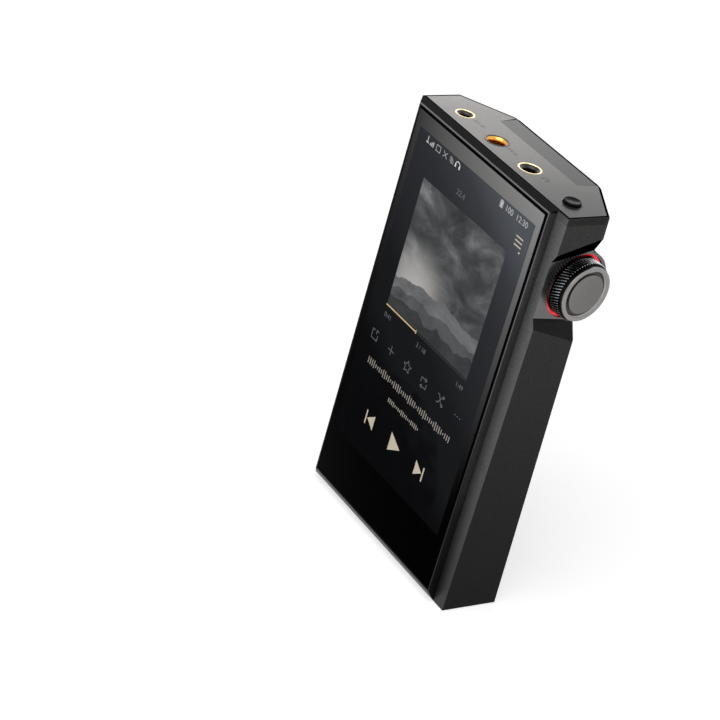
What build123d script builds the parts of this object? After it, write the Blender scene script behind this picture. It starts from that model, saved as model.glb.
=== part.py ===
from build123d import *

import os
from math import cos, radians, sin, tan

# Pocket music player. Millimetres, +Z up. Seen from the screen side, +X is to the right and +Y points
# to the rear. The origin is on the flat bottom, under the middle of the block's width and depth.

# ---- block -------------------------------------------------------------------------------------
BODY_W = 65.8            # side face to side face
BODY_H = 116.7           # bottom to top face
BODY_D = 21.1            # flat front of the block to the rear face
FRAME_RISE = 2.5         # the screen frame stands this far in front of the block
WALL = 1.6
TOP_T = 2.0              # top plate
BASE_T = 1.6             # bottom plate
REAR_BEVEL = 1.0         # narrow bevel between each slant and the rear face
TOP_EDGE = 0.2           # chamfer round the top plate
BAND_DEPTH = 6.8         # band between the rear corners of the top plate, which falls away slightly
BAND_DROP = 0.15
BAND_TAPER = 1.1         # how much further in each end of the band lies at its front edge
FIT = 0.05               # gap left all round a piece set into another of the same body
CLEAR = 0.3              # gap between a moving piece and what it moves past

# Each rear corner is cut by one plane: depth of the side face at the top, width of the cut at the
# top, and how much deeper the side face is at the bottom.
RIGHT_SLANT = (12.8, 14.9, 4.4)
LEFT_SLANT = (11.7, 14.2, 5.6)

# ---- screen side -------------------------------------------------------------------------------
LEDGE_W = 4.5            # flat strip of the block left of the frame's right wall
LEFT_BEVEL = 2.7         # slopes of the frame, measured across
BOTTOM_BEVEL = 3.1
TOP_BEVEL = 0.65
LIP_W = 0.45             # metal edge round the glass
LIP_T = 0.3
WINDOW_SEAT = 0.1        # antenna window's seat, below the frame's top edge
GLASS_T = 0.9
GLASS_SEAT = 1.2         # width of the step that the glass rests on
TRAY_T = 0.4
PANEL_MARGIN = 0.3       # display module inside the frame's window
PANEL_FOOT = 12.0        # display module's lower edge above the frame's window

# ---- volume wheel and its notch ----------------------------------------------------------------
WHEEL_DROP = 20.6        # top face to the wheel's axis
WHEEL_DEPTH = 11.15      # flat front of the block to the wheel's axis, at the notch floor
WHEEL_TILT = 5.0         # degrees that the axis turns to the rear
NOTCH_CUT = 1.35         # notch floor behind the side face, at the block's front
NOTCH_HALF = 10.4        # half height of the notch on the side face, at the block's front
NOTCH_RISE = 0.317       # extra half height per mm of depth
NOTCH_SLOPE = 1.91       # half height lost per mm of cut
NOTCH_REAR_HALF = 8.4    # half height of the housing where it meets the rear bevel
NOTCH_INNER_HALF = 9.3   # half height of the housing where it leaves the notch floor
BARREL_R = 9.55          # round end of the wheel's housing
BARREL_SHIFT = 0.4       # its centre lies this far behind the wheel's axis
BARREL_SINK = 0.05       # its straight end lies this far inside the rear bevel's edge
WHEEL_STANDOFF = 4.3     # outer face of the wheel above the notch floor
SKIRT_R = 8.0
SKIRT_T = 3.25
GRIP_COUNT = 48
GRIP_DEPTH = 0.4
GRIP_W = 0.5
NECK_R = 7.25
NECK_T = 0.25
RING_R = 7.6
RING_IN_R = 6.35
CAP_R = 6.3
CAP_FLOOR_R = 5.45       # flat middle of the wheel's cap, inside its sloped rim
CAP_DISH = 0.35          # depth of the hollow in the wheel's cap
CAP_SINK = 0.05          # cap's edge below the ring's face
SHAFT_R = 1.5
SHAFT_RUN = 0.05         # running clearance of the shaft in its bush
BUSH_R = 3.0
WHEEL_WALL = 5.0         # metal behind the notch floor
LIGHT_R = 8.95
LIGHT_W = 0.6
LIGHT_SEAT = 1.4         # groove's depth below the notch floor
LIGHT_SINK = 0.6         # light's face below the notch floor
ENCODER_W = 11.4
ENCODER_T = 6.0
ENCODER_BOARD_T = 1.0

# ---- top: sockets and power key ----------------------------------------------------------------
SOCKET_Y = 6.25          # flat front of the block to the sockets' axes
SOCKET_X = -7.3          # middle socket
SOCKET_PITCH = 14.8
SOCKET_L = 16.0
SOCKET_SINK = 0.25
RIM_T = 0.8
# name, step from the middle socket, bore radius, bore depth, rim outer and inner radius
SOCKETS = (
    ("2p5", -1, 1.30, 11.0, 2.7, 2.20),
    ("4p4", 0, 2.25, 15.0, 3.4, 2.90),
    ("3p5", 1, 1.80, 14.0, 3.2, 2.70),
)
POWER_INSET = 7.5        # right side face to the power key's axis
POWER_DEPTH = 6.45       # flat front of the block to the power key's axis
POWER_R = 2.3
POWER_RIM_R = 2.8
POWER_BOSS_R = 4.2
POWER_L = 3.9
POWER_PROUD = 0.8
POWER_TRAVEL = 0.4
POWER_DISH = 0.35
SWITCH_H = 2.2
PLUNGER_H = 0.5

# ---- left side: three pin keys -----------------------------------------------------------------
PIN_R = 0.75
PIN_PITCH = 6.15
PIN_DEPTH = 11.4         # flat front of the block to the pins' axes
PIN_PROUD = 1.2          # pin's tip beyond the left side face
PIN_HEAD_R = 1.3
PIN_HEAD_T = 0.8
PIN_HEAD_DEPTH = 6.4     # left side face to the outer face of the pin's head
PIN_TRAVEL = 0.4
KEY_SWITCH_W = 4.0
KEY_SWITCH_T = 2.0
KEY_BOARD_T = 1.0
KEY_BOARD_HALF = 9.0
KEY_BOARD_D = 5.2

# ---- rear cover --------------------------------------------------------------------------------
COVER_T = 1.0
COVER_MARGIN = 0.6       # metal left between the bevel and the cover
COVER_SEAT = 1.8         # width of the step that the cover rests on

# ---- boards, battery and ports -----------------------------------------------------------------
BOARD_T = 1.0
BOSS_R = 1.8
SCREW_R = 0.7
SCREW_HEAD_R = 1.5
SCREW_HEAD_T = 0.8
SCREW_L = 3.5
PORT_BOARD_H = 17.0
PORT_BOARD_DEPTH = 5.3   # flat front of the block to the port board's rear face
PORT_MARGIN = 7.9        # side face to the port board's end
PAD_T = 0.3
BATTERY_MARGIN = 6.9     # side face to the battery
BATTERY_T = 8.0
BATTERY_GAP = 0.8
MAIN_GAP = 1.4           # battery to main board
MAIN_MARGIN = 2.4        # side face to the main board's end
MAIN_BOSS_INSET = 2.3    # boss centres inside the board's sides
MAIN_BOSS_STEP = 4.5     # boss centres inside the board's ends
LINK_W = 12.0
LINK_H = 4.0
AUDIO_H = 29.5
AUDIO_GAP = 0.8          # audio board to the key board and to the wheel's board
AUDIO_DEPTH = 6.1        # flat front of the block to the audio board's rear face
AUDIO_BOSS_INSET = 5.5   # boss centres inside the board's sides
AUDIO_BOSS_Z = 15.5      # below the audio board's top edge
USB_X = -12.0
USB_W = 9.0
USB_H = 3.2
USB_L = 7.3
USB_SHELL = 0.3
USB_TONGUE = (6.7, 0.7, 4.6)
CARD_X = 12.0
CARD_W = 11.0
CARD_T = 0.8
CARD_L = 15.0
CARD_GAP = 0.15          # slot's clearance round a memory card
SLOT_WALL = 0.4
SLOT_BACK = 1.0
# name, x, height above the main board's middle, width, height, thickness
MAIN_CHIPS = (
    ("processor_shield", -9.0, 4.0, 24.0, 28.0, 2.4),
    ("memory_chip", 13.0, 6.0, 12.0, 14.0, 1.2),
    ("power_chip", 12.0, -10.0, 8.0, 8.0, 1.0),
)
# name, distance from the audio board's middle, distance below its top edge, width, height, thickness
AUDIO_CHIPS = (
    ("converter_chip_left", -13.0, 6.0, 7.0, 7.0, 1.0),
    ("converter_chip_right", 13.0, 6.0, 7.0, 7.0, 1.0),
    ("amplifier_shield", 0.0, 10.5, 16.0, 14.0, 2.2),
)
CAPACITOR_R = 2.4
CAPACITOR_H = 4.5
CAPACITOR_STEP = 7.0     # either side of the audio board's middle
CAPACITOR_DROP = 21.0    # below the audio board's top edge
ANTENNA_X = 16.0
ANTENNA_W = 7.0
ANTENNA_H = 9.0
ANTENNA_T = 0.8

# ---- places worked out from the sizes ----------------------------------------------------------
HALF_W = BODY_W / 2
Y_GLASS = -(BODY_D + FRAME_RISE) / 2
Y_FRONT = Y_GLASS + FRAME_RISE
Y_REAR = Y_FRONT + BODY_D
Y_INNER = Y_FRONT + WALL
Z_TOP_SEAT = BODY_H - TOP_T

FRAME_RIGHT = HALF_W - LEDGE_W
GLASS_HOLE = (-HALF_W + LEFT_BEVEL + LIP_W, FRAME_RIGHT - LIP_W,
              BOTTOM_BEVEL + LIP_W, BODY_H - TOP_BEVEL - LIP_W)

WHEEL_Y = Y_FRONT + WHEEL_DEPTH
WHEEL_Z = BODY_H - WHEEL_DROP
TILT = radians(WHEEL_TILT)
WHEEL_AXIS = Vector(cos(TILT), sin(TILT), 0)
FLOOR_FRONT_X = HALF_W - NOTCH_CUT
WHEEL_ORIGIN = Vector(FLOOR_FRONT_X - WHEEL_DEPTH * tan(TILT), WHEEL_Y, WHEEL_Z)
ENCODER_BACK = WHEEL_WALL + ENCODER_T + ENCODER_BOARD_T

SOCKET_ROW_Y = Y_FRONT + SOCKET_Y
POWER_X = HALF_W - POWER_INSET
POWER_Y = Y_FRONT + POWER_DEPTH
PIN_Y = Y_FRONT + PIN_DEPTH
PIN_TIP_X = -HALF_W - PIN_PROUD
PIN_HEAD_X = -HALF_W + PIN_HEAD_DEPTH
KEY_X = PIN_HEAD_X + PIN_HEAD_T + PIN_TRAVEL + 0.2 + PLUNGER_H + KEY_SWITCH_T
KEY_BOARD_Y = PIN_Y - KEY_BOARD_D / 2

PORT_Y = Y_FRONT + PORT_BOARD_DEPTH
BATTERY_Z = BASE_T + PORT_BOARD_H + BATTERY_GAP
BATTERY_Y = Y_INNER + PAD_T
BATTERY_HALF = HALF_W - BATTERY_MARGIN
MAIN_Y = BATTERY_Y + BATTERY_T + MAIN_GAP
MAIN_HALF = HALF_W - MAIN_MARGIN
PORT_HALF = HALF_W - PORT_MARGIN
AUDIO_Y = Y_FRONT + AUDIO_DEPTH
AUDIO_TOP = BODY_H - SOCKET_L
AUDIO_FOOT = AUDIO_TOP - AUDIO_H
AUDIO_LEFT = KEY_X + KEY_BOARD_T + AUDIO_GAP
AUDIO_RIGHT = WHEEL_ORIGIN.X - ENCODER_BACK - AUDIO_GAP
AUDIO_MID = (AUDIO_LEFT + AUDIO_RIGHT) / 2
BATTERY_TOP = AUDIO_FOOT - BATTERY_GAP
MAIN_TOP = AUDIO_FOOT + LINK_H + BATTERY_GAP

# ---- helpers -----------------------------------------------------------------------------------


def block_box(x0, x1, y0, y1, z0, z1):
    """Box between two corners."""
    return Pos((x0 + x1) / 2, (y0 + y1) / 2, (z0 + z1) / 2) * Box(x1 - x0, y1 - y0, z1 - z0)


def rod(start, direction, radius, length, hole=0.0):
    """Cylinder, or tube where hole is given, from a point along a direction."""
    outline = Circle(radius)
    if hole:
        outline -= Circle(hole)
    return extrude(Plane(origin=start, z_dir=direction) * outline, amount=length)


def wheel_plane(out):
    """Plane square to the wheel's axis, a distance out from the notch floor."""
    return Plane(origin=WHEEL_ORIGIN + WHEEL_AXIS * out, x_dir=(-sin(TILT), cos(TILT), 0), z_dir=WHEEL_AXIS)


def wheel_disc(low, high, radius, hole=0.0):
    """Disc or ring on the wheel's axis between two distances from the notch floor."""
    outline = Circle(radius)
    if hole:
        outline -= Circle(hole)
    return extrude(wheel_plane(low) * outline, amount=high - low)


def wheel_box(low, high, width):
    """Square block on the wheel's axis between two distances from the notch floor."""
    return extrude(wheel_plane(low) * Rectangle(width, width), amount=high - low)


def polygon(points):
    """Face through points of one plane."""
    return Face(Wire.make_polygon([Vector(*p) for p in points], close=True))


def slant_limits(slant, z, inset):
    """Where a slant meets the side face (depth) and the rear face (half width), walls moved in."""
    side_depth, run, taper = slant
    depth = side_depth + taper * (BODY_H - z) / BODY_H
    drop = BODY_D - side_depth
    length = (drop ** 2 + run ** 2) ** 0.5
    nx, ny = drop / length, run / length
    reach = nx * HALF_W + ny * (Y_FRONT + depth) - inset
    side_y = (reach - nx * (HALF_W - inset)) / ny
    rear_x = (reach - ny * (Y_REAR - inset)) / nx
    along = (run / length, drop / length)
    return side_y, rear_x, along


def section(z, inset=0.0):
    """Outline of the block at height z, as points, with its walls moved in by inset."""
    right_y, right_x, right_dir = slant_limits(RIGHT_SLANT, z, inset)
    left_y, left_x, left_dir = slant_limits(LEFT_SLANT, z, inset)
    x = HALF_W - inset
    front, rear = Y_FRONT + inset, Y_REAR - inset
    return [
        (-x, front, z), (x, front, z), (x, right_y, z),
        (right_x + REAR_BEVEL * right_dir[0], rear - REAR_BEVEL * right_dir[1], z),
        (right_x - REAR_BEVEL, rear, z), (-left_x + REAR_BEVEL, rear, z),
        (-left_x - REAR_BEVEL * left_dir[0], rear - REAR_BEVEL * left_dir[1], z),
        (-x, left_y, z),
    ]


def block(z0, z1, inset=0.0):
    """The block's faceted shape between two heights."""
    return loft([polygon(section(z0, inset)), polygon(section(z1, inset))], ruled=True)


def rear_outline(inset, y0, y1):
    """Flat prism that follows the rear face's edges, moved in by inset."""
    low, high = section(0)[4:6], section(BODY_H)[4:6]
    z_high = BODY_H - BAND_DROP - inset
    points = []
    for (start, end), edge in (((low, high), 0), ((low, high), 1)):
        side = -1 if edge == 0 else 1
        for z in ((inset, z_high) if edge == 0 else (z_high, inset)):
            x = start[edge][0] + (end[edge][0] - start[edge][0]) * z / BODY_H
            points.append((x + side * inset, y0, z))
    return extrude(polygon(points), amount=y1 - y0, dir=(0, 1, 0))


def half_height(x, y):
    """Half height of the notch at a point."""
    return NOTCH_HALF + NOTCH_RISE * (y - Y_FRONT) - NOTCH_SLOPE * (HALF_W - x)


# ---- housing -----------------------------------------------------------------------------------


def notch():
    """Space cut from the side face round the wheel, with a sloped facet above and below."""
    outer_x = HALF_W + WALL
    ends = []
    for y in (Y_FRONT - 1.0, Y_REAR):
        floor_x = FLOOR_FRONT_X - (y - Y_FRONT) * tan(TILT)
        inner, outer = half_height(floor_x, y), half_height(outer_x, y)
        ends.append(polygon([(floor_x, y, WHEEL_Z - inner), (outer_x, y, WHEEL_Z - outer),
                             (outer_x, y, WHEEL_Z + outer), (floor_x, y, WHEEL_Z + inner)]))
    return loft(ends, ruled=True)


def slant_facets():
    """Space cut from the right slant beside the wheel's housing: a shallow facet above and below."""
    inner_y = WHEEL_Y + BARREL_SHIFT + (BARREL_R ** 2 - NOTCH_INNER_HALF ** 2) ** 0.5
    inner_x = FLOOR_FRONT_X - (inner_y - Y_FRONT) * tan(TILT)
    drop = BODY_D - RIGHT_SLANT[0]
    out = Vector(drop, RIGHT_SLANT[1], 0).normalized() * (2 * WALL)
    upper, lower = [], []
    for side, points in ((1, upper), (-1, lower)):
        z_side = WHEEL_Z + side * half_height(HALF_W, Y_FRONT + RIGHT_SLANT[0])
        z_rear = WHEEL_Z + side * NOTCH_REAR_HALF
        edge = Vector(*section(z_side)[2])
        rear = Vector(*section(z_rear)[3])
        points += [edge, Vector(inner_x, inner_y, WHEEL_Z + side * NOTCH_INNER_HALF), rear, edge + out, rear + out]
    (p, q, t, po, to), (p2, q2, t2, po2, to2) = upper, lower
    loops = [(p, q, t), (p2, t2, q2), (p, p2, q2), (p, q2, q), (q, q2, t2), (q, t2, t), (t, t2, to2), (t, to2, to),
             (po, to, to2), (po, to2, po2), (p, t, to), (p, to, po), (p2, to2, t2), (p2, po2, to2),
             (p, po, po2), (p, po2, p2)]
    return Solid(Shell([polygon([tuple(v) for v in loop]) for loop in loops]))


def wheel_housing():
    """Round end behind the wheel that blends into a straight line at the rear bevel."""
    plane = wheel_plane(0.0)
    root = 2.0
    top = plane.from_local_coords((BARREL_SHIFT, BARREL_R))
    bottom = plane.from_local_coords((BARREL_SHIFT, -BARREL_R))
    middle = plane.from_local_coords((BARREL_SHIFT + BARREL_R, 0))
    top_root = plane.from_local_coords((BARREL_SHIFT - root, BARREL_R))
    bottom_root = plane.from_local_coords((BARREL_SHIFT - root, -BARREL_R))
    rim = Wire([ThreePointArc(top, middle, bottom), Line(bottom, bottom_root),
                Line(bottom_root, top_root), Line(top_root, top)])
    sink = Vector(0, BARREL_SINK, 0)
    rear_top = Vector(*section(WHEEL_Z + NOTCH_REAR_HALF)[3]) - sink
    rear_bottom = Vector(*section(WHEEL_Z - NOTCH_REAR_HALF)[3]) - sink
    forward = Vector(0, WHEEL_Y - Y_REAR, 0)
    foot = Wire([Line(rear_top, rear_bottom), Line(rear_bottom, rear_bottom + forward),
                 Line(rear_bottom + forward, rear_top + forward), Line(rear_top + forward, rear_top)])
    return Solid.make_loft([foot, rim], True)


def cavity():
    """Space inside the housing, from the bottom plate to the top plate."""
    space = block(BASE_T - WALL, BODY_H + WALL, WALL) & block_box(-HALF_W, HALF_W, Y_FRONT, Y_REAR, BASE_T, Z_TOP_SEAT)
    guard = half_height(HALF_W, Y_REAR) + WALL
    wheel_side = extrude(wheel_plane(-WHEEL_WALL) * Rectangle(3 * BODY_D, 2 * guard), amount=BODY_W)
    power_boss = rod((POWER_X, POWER_Y, WHEEL_Z + guard - WALL), (0, 0, 1), POWER_BOSS_R, BODY_H)
    barrel = wheel_disc(-WHEEL_WALL - ENCODER_T, 0, BARREL_R + WALL)
    solid_zone = wheel_side + power_boss
    pocket = wheel_box(-ENCODER_BACK - 2 * WALL, -WHEEL_WALL, ENCODER_W + 2 * CLEAR)
    space = space - solid_zone - (barrel & block_box(0, HALF_W, Y_REAR - 2 * WALL, Y_REAR, 0, BODY_H))
    return space + pocket


def bosses():
    """Pillars for the main board and the audio board, and the rib that carries the key board."""
    pillars = [rod((x, Y_FRONT + WALL / 2, z), (0, 1, 0), BOSS_R, MAIN_Y - Y_FRONT - WALL / 2)
               for x, z in main_screw_places()]
    pillars += [rod((x, Y_FRONT + WALL / 2, z), (0, 1, 0), BOSS_R, AUDIO_Y - BOARD_T - Y_FRONT - WALL / 2)
                for x, z in audio_screw_places()]
    rib = block_box(KEY_X, KEY_X + KEY_BOARD_T, Y_FRONT + WALL / 2, KEY_BOARD_Y,
                    WHEEL_Z - KEY_BOARD_HALF, AUDIO_TOP - 2 * CLEAR)
    shelf_y = PORT_Y - BOARD_T
    shelves = [block_box(x - BOSS_R, x + BOSS_R, Y_FRONT + WALL / 2, shelf_y, BASE_T + BOSS_R, BASE_T + PORT_BOARD_H)
               for x in (-PORT_HALF + BOSS_R, PORT_HALF - BOSS_R)]
    return pillars + [rib] + shelves


def main_screw_places():
    """Centres of the main board's screws, as x and z."""
    side = MAIN_HALF - MAIN_BOSS_INSET
    return [(x, z) for z in (BATTERY_Z + MAIN_BOSS_STEP, MAIN_TOP - MAIN_BOSS_STEP) for x in (-side, side)]


def audio_screw_places():
    """Centres of the audio board's screws, as x and z."""
    return [(x, AUDIO_TOP - AUDIO_BOSS_Z) for x in (AUDIO_LEFT + AUDIO_BOSS_INSET, AUDIO_RIGHT - AUDIO_BOSS_INSET)]


def screw_holes():
    """Blind holes for the board screws."""
    shank = SCREW_R + FIT
    holes = [rod((x, MAIN_Y, z), (0, -1, 0), shank, SCREW_L) for x, z in main_screw_places()]
    return holes + [rod((x, AUDIO_Y, z), (0, -1, 0), shank, SCREW_L + BOARD_T) for x, z in audio_screw_places()]


def housing():
    """One-piece metal body: a faceted tube with the wheel's notch and an open back under the cover."""
    body = block(BASE_T, Z_TOP_SEAT) - notch() - slant_facets()
    body += wheel_housing()
    body -= cavity()
    body -= rear_outline(COVER_MARGIN, Y_REAR - COVER_T, Y_REAR + 1.0)
    body -= rear_outline(COVER_MARGIN + COVER_SEAT, Y_REAR - 3 * WALL, Y_REAR + 1.0) - wheel_guard()
    body -= block_box(-HALF_W, HALF_W, 0, Y_REAR + 1.0, Z_TOP_SEAT, BODY_H)
    body += bosses()
    body -= wheel_disc(-WHEEL_WALL - 1.0, 1.0, BUSH_R + FIT)
    body -= wheel_disc(-LIGHT_SEAT, 1.0, LIGHT_R + FIT, LIGHT_R - LIGHT_W - FIT)
    body -= rod((POWER_X, POWER_Y, power_floor()), (0, 0, 1), POWER_R + CLEAR / 2, BODY_H)
    for z in pin_heights():
        body -= rod((-HALF_W - WALL, PIN_Y, z), (1, 0, 0), PIN_R + FIT, HALF_W + WALL + PIN_HEAD_X + PIN_HEAD_T)
    for hole in screw_holes():
        body -= hole
    return body


def wheel_guard():
    """Keeps the metal round the wheel's housing when the back is opened."""
    return block_box(0, HALF_W, Y_FRONT, Y_REAR, WHEEL_Z - BARREL_R - WALL, WHEEL_Z + BARREL_R + WALL) & \
        wheel_disc(-ENCODER_BACK - 2 * WALL, 0, 3 * BARREL_R)


# ---- plates and screen side --------------------------------------------------------------------


def band_cut():
    """Wedge between the rear corners that makes the band fall away."""
    over = 1.0
    front, rear = Y_REAR - BAND_DEPTH, Y_REAR + over
    corners = section(BODY_H)
    right, left = corners[4][0] + REAR_BEVEL, corners[5][0] - REAR_BEVEL
    drop = BAND_DROP * (BAND_DEPTH + over) / BAND_DEPTH
    flare = BAND_TAPER * over / BAND_DEPTH
    profile = [(-HALF_W, front, BODY_H), (-HALF_W, rear, BODY_H - drop), (-HALF_W, rear, BODY_H + over),
               (-HALF_W, front, BODY_H + over)]
    plan = [(left + BAND_TAPER, front, Z_TOP_SEAT), (right - BAND_TAPER, front, Z_TOP_SEAT),
            (right + flare, rear, Z_TOP_SEAT), (left - flare, rear, Z_TOP_SEAT)]
    return extrude(polygon(profile), amount=BODY_W, dir=(1, 0, 0)) & \
        extrude(polygon(plan), amount=TOP_T + over, dir=(0, 0, 1))


def top_cap():
    """Flat top plate with a chamfered edge, three socket holes and the power key's hole."""
    edge = loft([polygon(section(BODY_H - TOP_EDGE)), polygon(section(BODY_H, TOP_EDGE))], ruled=True)
    plate = block(Z_TOP_SEAT, BODY_H - TOP_EDGE) + edge - band_cut()
    for name, x, bore, depth, rim_r, rim_in in sockets():
        plate -= rod((x, SOCKET_ROW_Y, Z_TOP_SEAT), (0, 0, 1), rim_in + FIT, TOP_T)
        plate -= rod((x, SOCKET_ROW_Y, BODY_H - RIM_T), (0, 0, 1), rim_r + FIT, RIM_T)
    plate -= rod((POWER_X, POWER_Y, Z_TOP_SEAT), (0, 0, 1), POWER_R + CLEAR, TOP_T)
    plate -= rod((POWER_X, POWER_Y, BODY_H - RIM_T), (0, 0, 1), POWER_RIM_R + FIT, RIM_T)
    return plate


def bottom_cap():
    """Flat bottom plate with the charging port's hole and the card's slot."""
    plate = block(0, BASE_T)
    port = extrude(Plane(origin=(USB_X, usb_y(), 0), z_dir=(0, 0, 1)) * SlotOverall(USB_W + 2 * FIT, USB_H + 2 * FIT),
                   amount=BASE_T)
    slot = block_box(CARD_X - CARD_W / 2 - CLEAR, CARD_X + CARD_W / 2 + CLEAR,
                     card_y() - CARD_T / 2 - CLEAR, card_y() + CARD_T / 2 + CLEAR, 0, BASE_T)
    return plate - port - slot


def rear_cover():
    """Flat brushed plate let into the back."""
    return rear_outline(COVER_MARGIN + FIT, Y_REAR - COVER_T, Y_REAR) - \
        block_box(-HALF_W, HALF_W, 0, Y_REAR + 1.0, Z_TOP_SEAT, BODY_H) - \
        block_box(-HALF_W, HALF_W, 0, Y_REAR + 1.0, 0, BASE_T)


def frame_shape():
    """Raised front: upright on the right, sloped at the left, the bottom and, slightly, the top."""
    base = [(-HALF_W, Y_FRONT, 0), (FRAME_RIGHT, Y_FRONT, 0), (FRAME_RIGHT, Y_FRONT, BODY_H), (-HALF_W, Y_FRONT, BODY_H)]
    left, top = -HALF_W + LEFT_BEVEL, BODY_H - TOP_BEVEL
    face = [(left, Y_GLASS, BOTTOM_BEVEL), (FRAME_RIGHT, Y_GLASS, BOTTOM_BEVEL), (FRAME_RIGHT, Y_GLASS, top), (left, Y_GLASS, top)]
    return loft([polygon(base), polygon(face)], ruled=True)


def window_zone():
    """Part of the raised front that is the antenna window."""
    return block_box(-HALF_W, HALF_W, Y_GLASS + LIP_T, Y_FRONT, BODY_H - TOP_BEVEL - WINDOW_SEAT, BODY_H)


def glass_box(margin, y0, y1):
    """Box in the frame's window, a margin inside its edges."""
    x0, x1, z0, z1 = GLASS_HOLE
    return block_box(x0 + margin, x1 - margin, y0, y1, z0 + margin, z1 - margin)


def front_frame():
    """Metal frame round the glass, with a step that carries it."""
    glass_back = Y_GLASS + GLASS_T
    return frame_shape() - window_zone() - glass_box(0, Y_GLASS, glass_back) - glass_box(GLASS_SEAT, glass_back, Y_FRONT)


def antenna_window():
    """Black strip along the top of the frame."""
    return frame_shape() & window_zone()


def cover_glass():
    return glass_box(FIT, Y_GLASS, Y_GLASS + GLASS_T)


def display_module(y0, y1):
    """Box of the display module's outline."""
    x0, x1, z0, z1 = GLASS_HOLE
    margin = GLASS_SEAT + PANEL_MARGIN
    return block_box(x0 + margin, x1 - margin, y0, y1, z0 + PANEL_FOOT, z1 - margin)


def display_panel():
    return display_module(Y_GLASS + GLASS_T, Y_FRONT - TRAY_T)


def display_tray():
    return display_module(Y_FRONT - TRAY_T, Y_FRONT)


# ---- sockets and power key ---------------------------------------------------------------------


def sockets():
    """Each socket's name, x and radii."""
    return [(name, SOCKET_X + step * SOCKET_PITCH, bore, depth, rim_r, rim_in)
            for name, step, bore, depth, rim_r, rim_in in SOCKETS]


def socket_rim(x, rim_r, rim_in):
    return rod((x, SOCKET_ROW_Y, BODY_H - RIM_T), (0, 0, 1), rim_r, RIM_T, rim_in)


def socket_body(x, bore, depth, rim_in):
    """Insulated barrel under the top plate with the plug's bore."""
    face = BODY_H - SOCKET_SINK
    barrel = rod((x, SOCKET_ROW_Y, AUDIO_TOP), (0, 0, 1), rim_in - FIT, face - AUDIO_TOP)
    return barrel - rod((x, SOCKET_ROW_Y, face - depth), (0, 0, 1), bore, depth)


def power_floor():
    """Height of the seat that the power switch stands on."""
    return BODY_H + POWER_PROUD - POWER_L - POWER_TRAVEL - CLEAR - PLUNGER_H - SWITCH_H


def power_button():
    """Round key with a shallow hollow."""
    top = BODY_H + POWER_PROUD
    key = rod((POWER_X, POWER_Y, top - POWER_L), (0, 0, 1), POWER_R, POWER_L)
    ball_r = (POWER_R ** 2 + POWER_DISH ** 2) / (2 * POWER_DISH)
    hollow = Pos(POWER_X, POWER_Y, top + ball_r - POWER_DISH) * Sphere(ball_r)
    return key - (hollow & rod((POWER_X, POWER_Y, top - POWER_L), (0, 0, 1), POWER_R - CLEAR, 2 * POWER_L))


def power_switch():
    base = rod((POWER_X, POWER_Y, power_floor()), (0, 0, 1), POWER_R, SWITCH_H)
    return base + rod((POWER_X, POWER_Y, power_floor() + SWITCH_H), (0, 0, 1), POWER_R / 2, PLUNGER_H)


# ---- pin keys ----------------------------------------------------------------------------------


def pin_heights():
    return [WHEEL_Z + step * PIN_PITCH for step in (1, 0, -1)]


def pin_key(z):
    """Slim round key with a head inside the wall."""
    pin = rod((PIN_TIP_X, PIN_Y, z), (1, 0, 0), PIN_R, PIN_HEAD_X - PIN_TIP_X + PIN_HEAD_T)
    pin = chamfer(pin.faces().sort_by(Axis.X)[0].edges(), PIN_R / 5)
    return pin + rod((PIN_HEAD_X, PIN_Y, z), (1, 0, 0), PIN_HEAD_R, PIN_HEAD_T)


def key_switch(z):
    half = KEY_SWITCH_W / 2
    body = block_box(KEY_X - KEY_SWITCH_T, KEY_X, PIN_Y - half, PIN_Y + half, z - half, z + half)
    return body + rod((KEY_X - KEY_SWITCH_T - PLUNGER_H, PIN_Y, z), (1, 0, 0), PIN_HEAD_R, PLUNGER_H)


def key_board():
    return block_box(KEY_X, KEY_X + KEY_BOARD_T, KEY_BOARD_Y, KEY_BOARD_Y + KEY_BOARD_D,
                     WHEEL_Z - KEY_BOARD_HALF, WHEEL_Z + KEY_BOARD_HALF)


# ---- volume wheel ------------------------------------------------------------------------------


def wheel_front():
    """Distance of the knob's front from the notch floor, behind the ring and the cap."""
    return CLEAR + SKIRT_T + NECK_T


def wheel_knob():
    """Knurled skirt with a plain neck and a bore for the shaft."""
    rim = Circle(SKIRT_R)
    for place in PolarLocations(SKIRT_R, GRIP_COUNT):
        rim -= place * Rectangle(2 * GRIP_DEPTH, GRIP_W)
    skirt = extrude(wheel_plane(CLEAR) * rim, amount=SKIRT_T)
    knob = skirt + wheel_disc(CLEAR + SKIRT_T, wheel_front(), NECK_R)
    return knob - wheel_disc(0, wheel_front() - NECK_T, SHAFT_R + FIT / 2)


def wheel_ring():
    return wheel_disc(wheel_front(), WHEEL_STANDOFF, RING_R, RING_IN_R)


def wheel_cap():
    """Disc set inside the ring: a steep rim slopes down to a flat middle."""
    face = WHEEL_STANDOFF - CAP_SINK
    disc = wheel_disc(wheel_front(), face, CAP_R)
    mouth = wheel_plane(face) * Circle(CAP_R - FIT)
    floor = wheel_plane(face - CAP_DISH) * Circle(CAP_FLOOR_R)
    return disc - loft([floor, mouth], ruled=True)


def wheel_shaft():
    return wheel_disc(-WHEEL_WALL - ENCODER_T + ENCODER_BOARD_T, wheel_front() - NECK_T, SHAFT_R)


def shaft_bush():
    return wheel_disc(-WHEEL_WALL, -CLEAR, BUSH_R, SHAFT_R + SHAFT_RUN)


def light_ring():
    return wheel_disc(-LIGHT_SEAT, -LIGHT_SINK, LIGHT_R, LIGHT_R - LIGHT_W)


def encoder():
    case = wheel_box(-WHEEL_WALL - ENCODER_T, -WHEEL_WALL, ENCODER_W)
    return case - wheel_disc(-WHEEL_WALL - ENCODER_T + ENCODER_BOARD_T - CLEAR, 0, SHAFT_R + 2 * SHAFT_RUN)


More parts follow.
